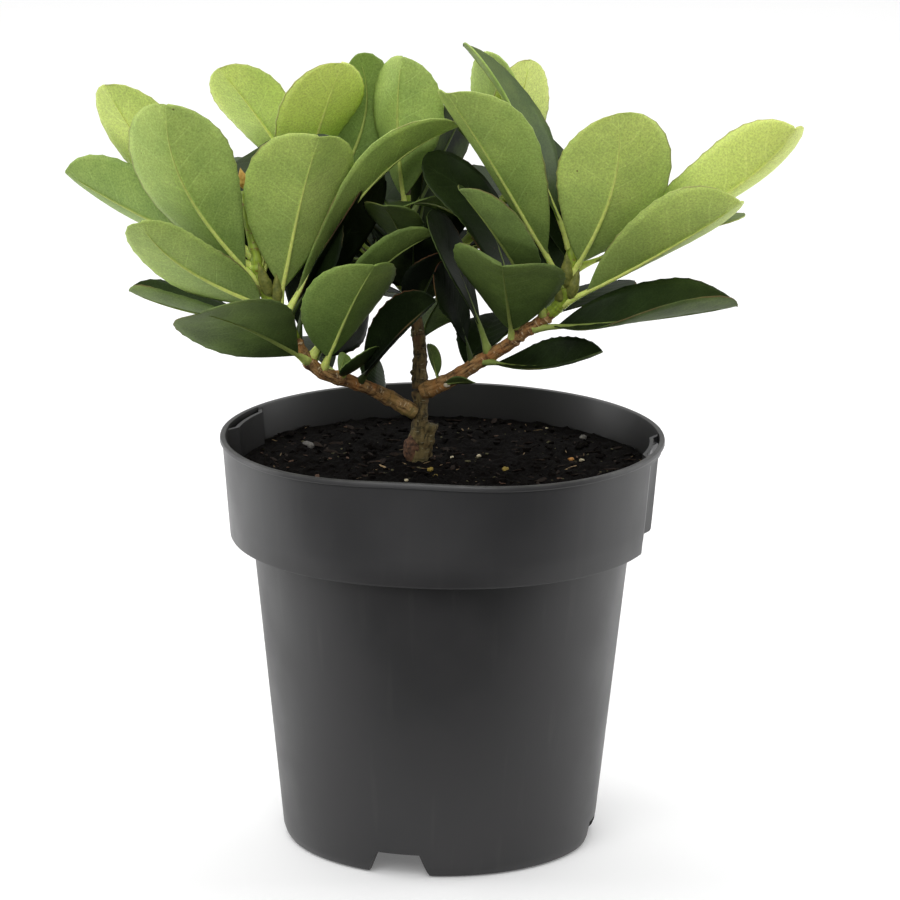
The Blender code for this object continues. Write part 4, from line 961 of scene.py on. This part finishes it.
def build_stage():
    """Pale floor, soft boxes at both sides, overhead and behind, and the camera at the picture's angle."""
    scene = bpy.context.scene
    # Plain white paper, matt and evenly bright, that the camera sees
    paper, shader, add = start_material("floor_paper", 0.9)
    shader.inputs["Base Color"].default_value = to_linear("#F6F6F6")
    shader.inputs["Emission Color"].default_value = (1.0, 1.0, 1.0, 1.0)
    shader.inputs["Emission Strength"].default_value = 0.14
    lay_sheet("floor", -0.0002, paper, True)
    # What the pot mirrors: the same paper with a dark cloth in front, out of sight, that keeps its wall dark
    cloth, shader, add = start_material("floor_cloth_dark", 0.9)
    shader.inputs["Emission Color"].default_value = (1.0, 1.0, 1.0, 1.0)
    north = add("ShaderNodeSeparateXYZ", {0: add("ShaderNodeTexCoord", out="Object")}, out=1)
    lit = add("ShaderNodeMapRange", {0: north, 1: FLOOR_SHADE[0], 2: FLOOR_SHADE[1]}, interpolation_type="SMOOTHSTEP")
    white = add("ShaderNodeMix", {0: lit, 6: "#3E3E3E", 7: "#F6F6F6"}, out=2, data_type="RGBA")
    glow = add("ShaderNodeMath", {0: lit, 1: 0.14}, operation="MULTIPLY")
    connect(shader, Base_Color=white, Emission_Strength=glow)
    lay_sheet("floor_light", -0.0004, cloth, False)
    world = bpy.data.worlds.new("studio")
    world.use_nodes = True
    world.node_tree.nodes["Background"].inputs["Color"].default_value = (1.0, 1.0, 1.0, 1.0)
    world.node_tree.nodes["Background"].inputs["Strength"].default_value = 0.34
    scene.world = world
    centre = (0.0, 0.0, 0.2)
    soft_box("left_box", (-1.3, 0.25, 0.75), centre, (0.9, 1.6), 2.15)
    soft_box("right_box", (1.35, 0.35, 0.75), centre, (0.8, 1.6), 2.1)
    soft_box("top_box", (0.0, 1.5, 2.2), (0.0, 1.3, 0.0), (3.0, 2.6), 1.6)
    soft_box("key_box", (-0.4, -1.7, 1.65), centre, (1.6, 1.6), 3.4)
    camera = bpy.data.cameras.new("camera")
    camera.lens = CAMERA_LENS
    camera.sensor_width = 36.0
    camera.clip_end = 50.0
    obj = bpy.data.objects.new("camera", camera)
    tilt = Matrix.Rotation(math.radians(90.0 - CAMERA_TILT), 4, "X")
    roll = Matrix.Rotation(math.radians(CAMERA_ROLL), 4, "Z")
    obj.matrix_world = Matrix.Translation(CAMERA_PLACE) @ tilt @ roll
    scene.collection.objects.link(obj)
    scene.camera = obj
    scene.view_settings.view_transform = "Standard"


def main():
    # Each blade's darkest green is partly painted shade, for leaves deep in the crown
    skins = {
        # Waxy cuticle on an evergreen leaf: dark, smooth and softly glossy, with veins that hardly show
        "upper": leaf_material("leaf_cuticle_waxy", ("#141C0C", "#41542A", "#8E9F52"), 1.5, 0.42, (0.03, 0.3), 0.25, 0.4),
        # Underside of the same leaf: pale, matt and yellow-green, with raised paler veins
        "under": leaf_material("leaf_underside_matt", ("#22291F", "#8CA750", "#D8E87E"), 1.4, 0.6, (0.04, 0.42), 0.35, 0.8),
        # Fresh midrib and stalk: smooth, juicy and brighter than the blade
        "rib": rib_material("leaf_rib_fresh", ("#3E4C26", "#86984E", "#E4F284")),
        # Soft new stem: smooth yellow-green with thin lengthwise streaks and a few rusty rings
        "shoot": limb_material("green_stem_soft", ("#7A8C34", "#9DB638", "#93A63A"), "#8A6A3C", "#7C9034", 0.5, 0.08),
        # Thin bark of a two-year twig: orange-brown, streaked, with ring scars and short pale scars
        "bark": limb_material("bark_thin_brown", ("#3E2614", "#B48C58", "#B8763C"), "#E0C8A0", "#7E7840", 0.8, 0.45),
    }
    # Older bark low on the stem: grey-olive and cracked under a crust of algae
    trunk_bark = limb_material("bark_old_mossy", ("#17120C", "#78663F", "#7A5638"), "#A09678", "#41461F", 0.88, 0.9)
    # Swollen callus at the graft: bare, pinkish brown and knobbly
    burl_bark = grainy_material("bark_callus_knobbly", "#1A100A", "#74523A", 0.85, 1.6, 1.2)
    # Damp peat and composted bark: almost black, without any shine
    mix = grainy_material("peat_damp", "#050404", "#0F0B09", 0.95, 1.2, 1.0, gloss=0.1)
    kinds = [
        # name, skin, how many, smallest and largest size, how long, how flat
        ("lumps", grainy_material("peat_lump", "#060505", "#130E0B", 0.95, 1.0, 0.5, gloss=0.1), 700, 0.8, 3.2,
         (0.9, 1.7), 0.7),
        ("bark_bits", grainy_material("bark_bit_brown", "#0E0A08", "#2C2018", 0.9, 1.0, 0.4, gloss=0.2), 300, 0.8, 2.6,
         (1.6, 4.5), 0.35),
        ("chips", grainy_material("bark_chip_reddish", "#3A2519", "#5E4330", 0.85, 0.8, 0.2), 60, 0.6, 1.8,
         (1.4, 3.6), 0.4),
        ("crumbs", grainy_material("leaf_crumb_olive", "#2E2C1A", "#5A5638", 0.9, 0.8, 0.2), 110, 0.4, 1.3,
         (1.0, 2.6), 0.5),
        ("fibres", grainy_material("root_fibre_tan", "#4E3E2A", "#8C7552", 0.8, 0.8, 0.1), 60, 0.3, 0.5, (4.0, 16.0), 0.8),
    ]
    specks = [
        ("speck_orange", grainy_material("resin_orange", "#B0702A", "#D9A05A", 0.5, 0.6, 0.2),
         [(55.4, 15.8, 2.4, 1.2, 20)]),
        ("speck_pale", grainy_material("grit_cream", "#A99C7C", "#CFC6A8", 0.7, 0.8, 0.2),
         [(60.0, 13.5, 1.8, 1.4, 10), (-15.6, -23.9, 1.5, 1.2, 0), (4.2, 19.0, 1.5, 1.2, 30),
          (15.8, 19.4, 1.7, 1.3, 0), (45.8, 67.8, 1.4, 1.0, 0)]),
        ("speck_ochre", grainy_material("bark_ochre", "#6E5A20", "#9A8538", 0.8, 0.8, 0.2),
         [(-5.2, -6.8, 2.6, 1.1, 0), (-3.0, -14.0, 2.0, 1.3, 40), (27.0, -2.0, 2.6, 1.6, 60)]),
        ("speck_grey", grainy_material("stone_grey", "#4E4C4A", "#77736E", 0.8, 0.8, 0.2),
         [(61.3, 50.7, 3.2, 1.1, 0), (-58.0, 33.0, 4.2, 1.6, -40)]),
        ("fibre_long", grainy_material("straw_tan", "#7C6444", "#B49870", 0.8, 0.8, 0.1),
         [(-25.0, 0.9, 0.9, 12.0, -60), (55.0, 2.0, 0.8, 12.0, 55), (-46.0, 42.0, 0.8, 13.0, 20)]),
    ]
    build_pot(pot_material())
    build_soil(mix, kinds, specks)
    # Healed leaf scar: a bare pale button of cork
    build_wood(skins["bark"], trunk_bark, burl_bark, grainy_material("cork_scar_pale", "#B8A88C", "#E6DCC8", 0.8, 0.8, 0.2))
    masses = (
        ("left_foliage", LEFT_PATH, 2.04, 13, LEFT_RADII, 8.1, LEFT_LEAVES + LEFT_SPRIGS,
         hidden_leaves(2, LEFT_PATH, (4.0, 12.0), 52, 24, (5, 60), (50, 70), 150,
                       (1, 18, 19, 21))),
        ("right_foliage", RIGHT_PATH, 1.03, 11, RIGHT_RADII, 6.2, RIGHT_LEAVES + RIGHT_SPRIGS,
         hidden_leaves(24, RIGHT_PATH, (2.4, 10.6), 56, 24, (5, 60), (50, 70), 150,
                       (3, 4, 18, 19, 20, 21, 23))),
        ("centre_foliage", CENTRE_PATH, 4.04, 7, CENTRE_RADII, 4.6, CENTRE_LEAVES + CENTRE_SPRIGS + CENTRE_INNER,
         hidden_leaves(58, CENTRE_PATH, (4.2, 6.9), 200, 20, (20, 70), (45, 70), 220,
                       (5, 6))),
        ("back_left_foliage", BACK_LEFT_PATH, 0.1, 4, (1.9, 1.4), 0.1, BACK_LEFT_LEAVES,
         hidden_leaves(20, BACK_LEFT_PATH, (0.8, 3.8), 180, 24, (5, 45), (50, 70), 240,
                       (1, 2, 4, 6, 7, 8, 9, 10, 11, 13, 16, 19, 21))),
        ("back_right_foliage", BACK_RIGHT_PATH, 0.1, 4, (1.9, 1.4), 0.1, BACK_RIGHT_LEAVES,
         hidden_leaves(26, BACK_RIGHT_PATH, (1.2, 3.9), -8, 24, (5, 45), (50, 70), 240,
                       (1, 3, 5, 7, 8, 10, 15, 19, 21))),
    )
    for name, path, start, end, radii, green_from, seen, hidden in masses:
        build_mass(name, seen + hidden, path, start, end, radii, green_from, skins)
    # Scales of resting buds: olive, mottled with paler dry patches
    olive = grainy_material("bud_scale_olive", "#5A6428", "#9A9A4C", 0.6, 2.0, 0.2)
    for i, (name, base, tip, width) in enumerate(BUDS):
        add_bud(f"{name}_bud_{i}", base, tip, width, 3, olive, name + "_foliage")
    # Dry scales of a resting bud, and the soft orange of one that opens
    add_bud("centre_bud", (-16, 34, 273), (-16.5, 34.5, 280), 3.0, 3,
            grainy_material("bud_scale_dry", "#4C4434", "#7A6E52", 0.7, 1.0, 0.2), "centre_foliage")
    add_bud("left_bud", (-84, -8, 284.5), (-86, -8, 294), 4.0, 2,
            grainy_material("bud_opening_orange", "#C0802E", "#ECC868", 0.6, 1.6, 0.15), "left_foliage")
    build_stage()


main()
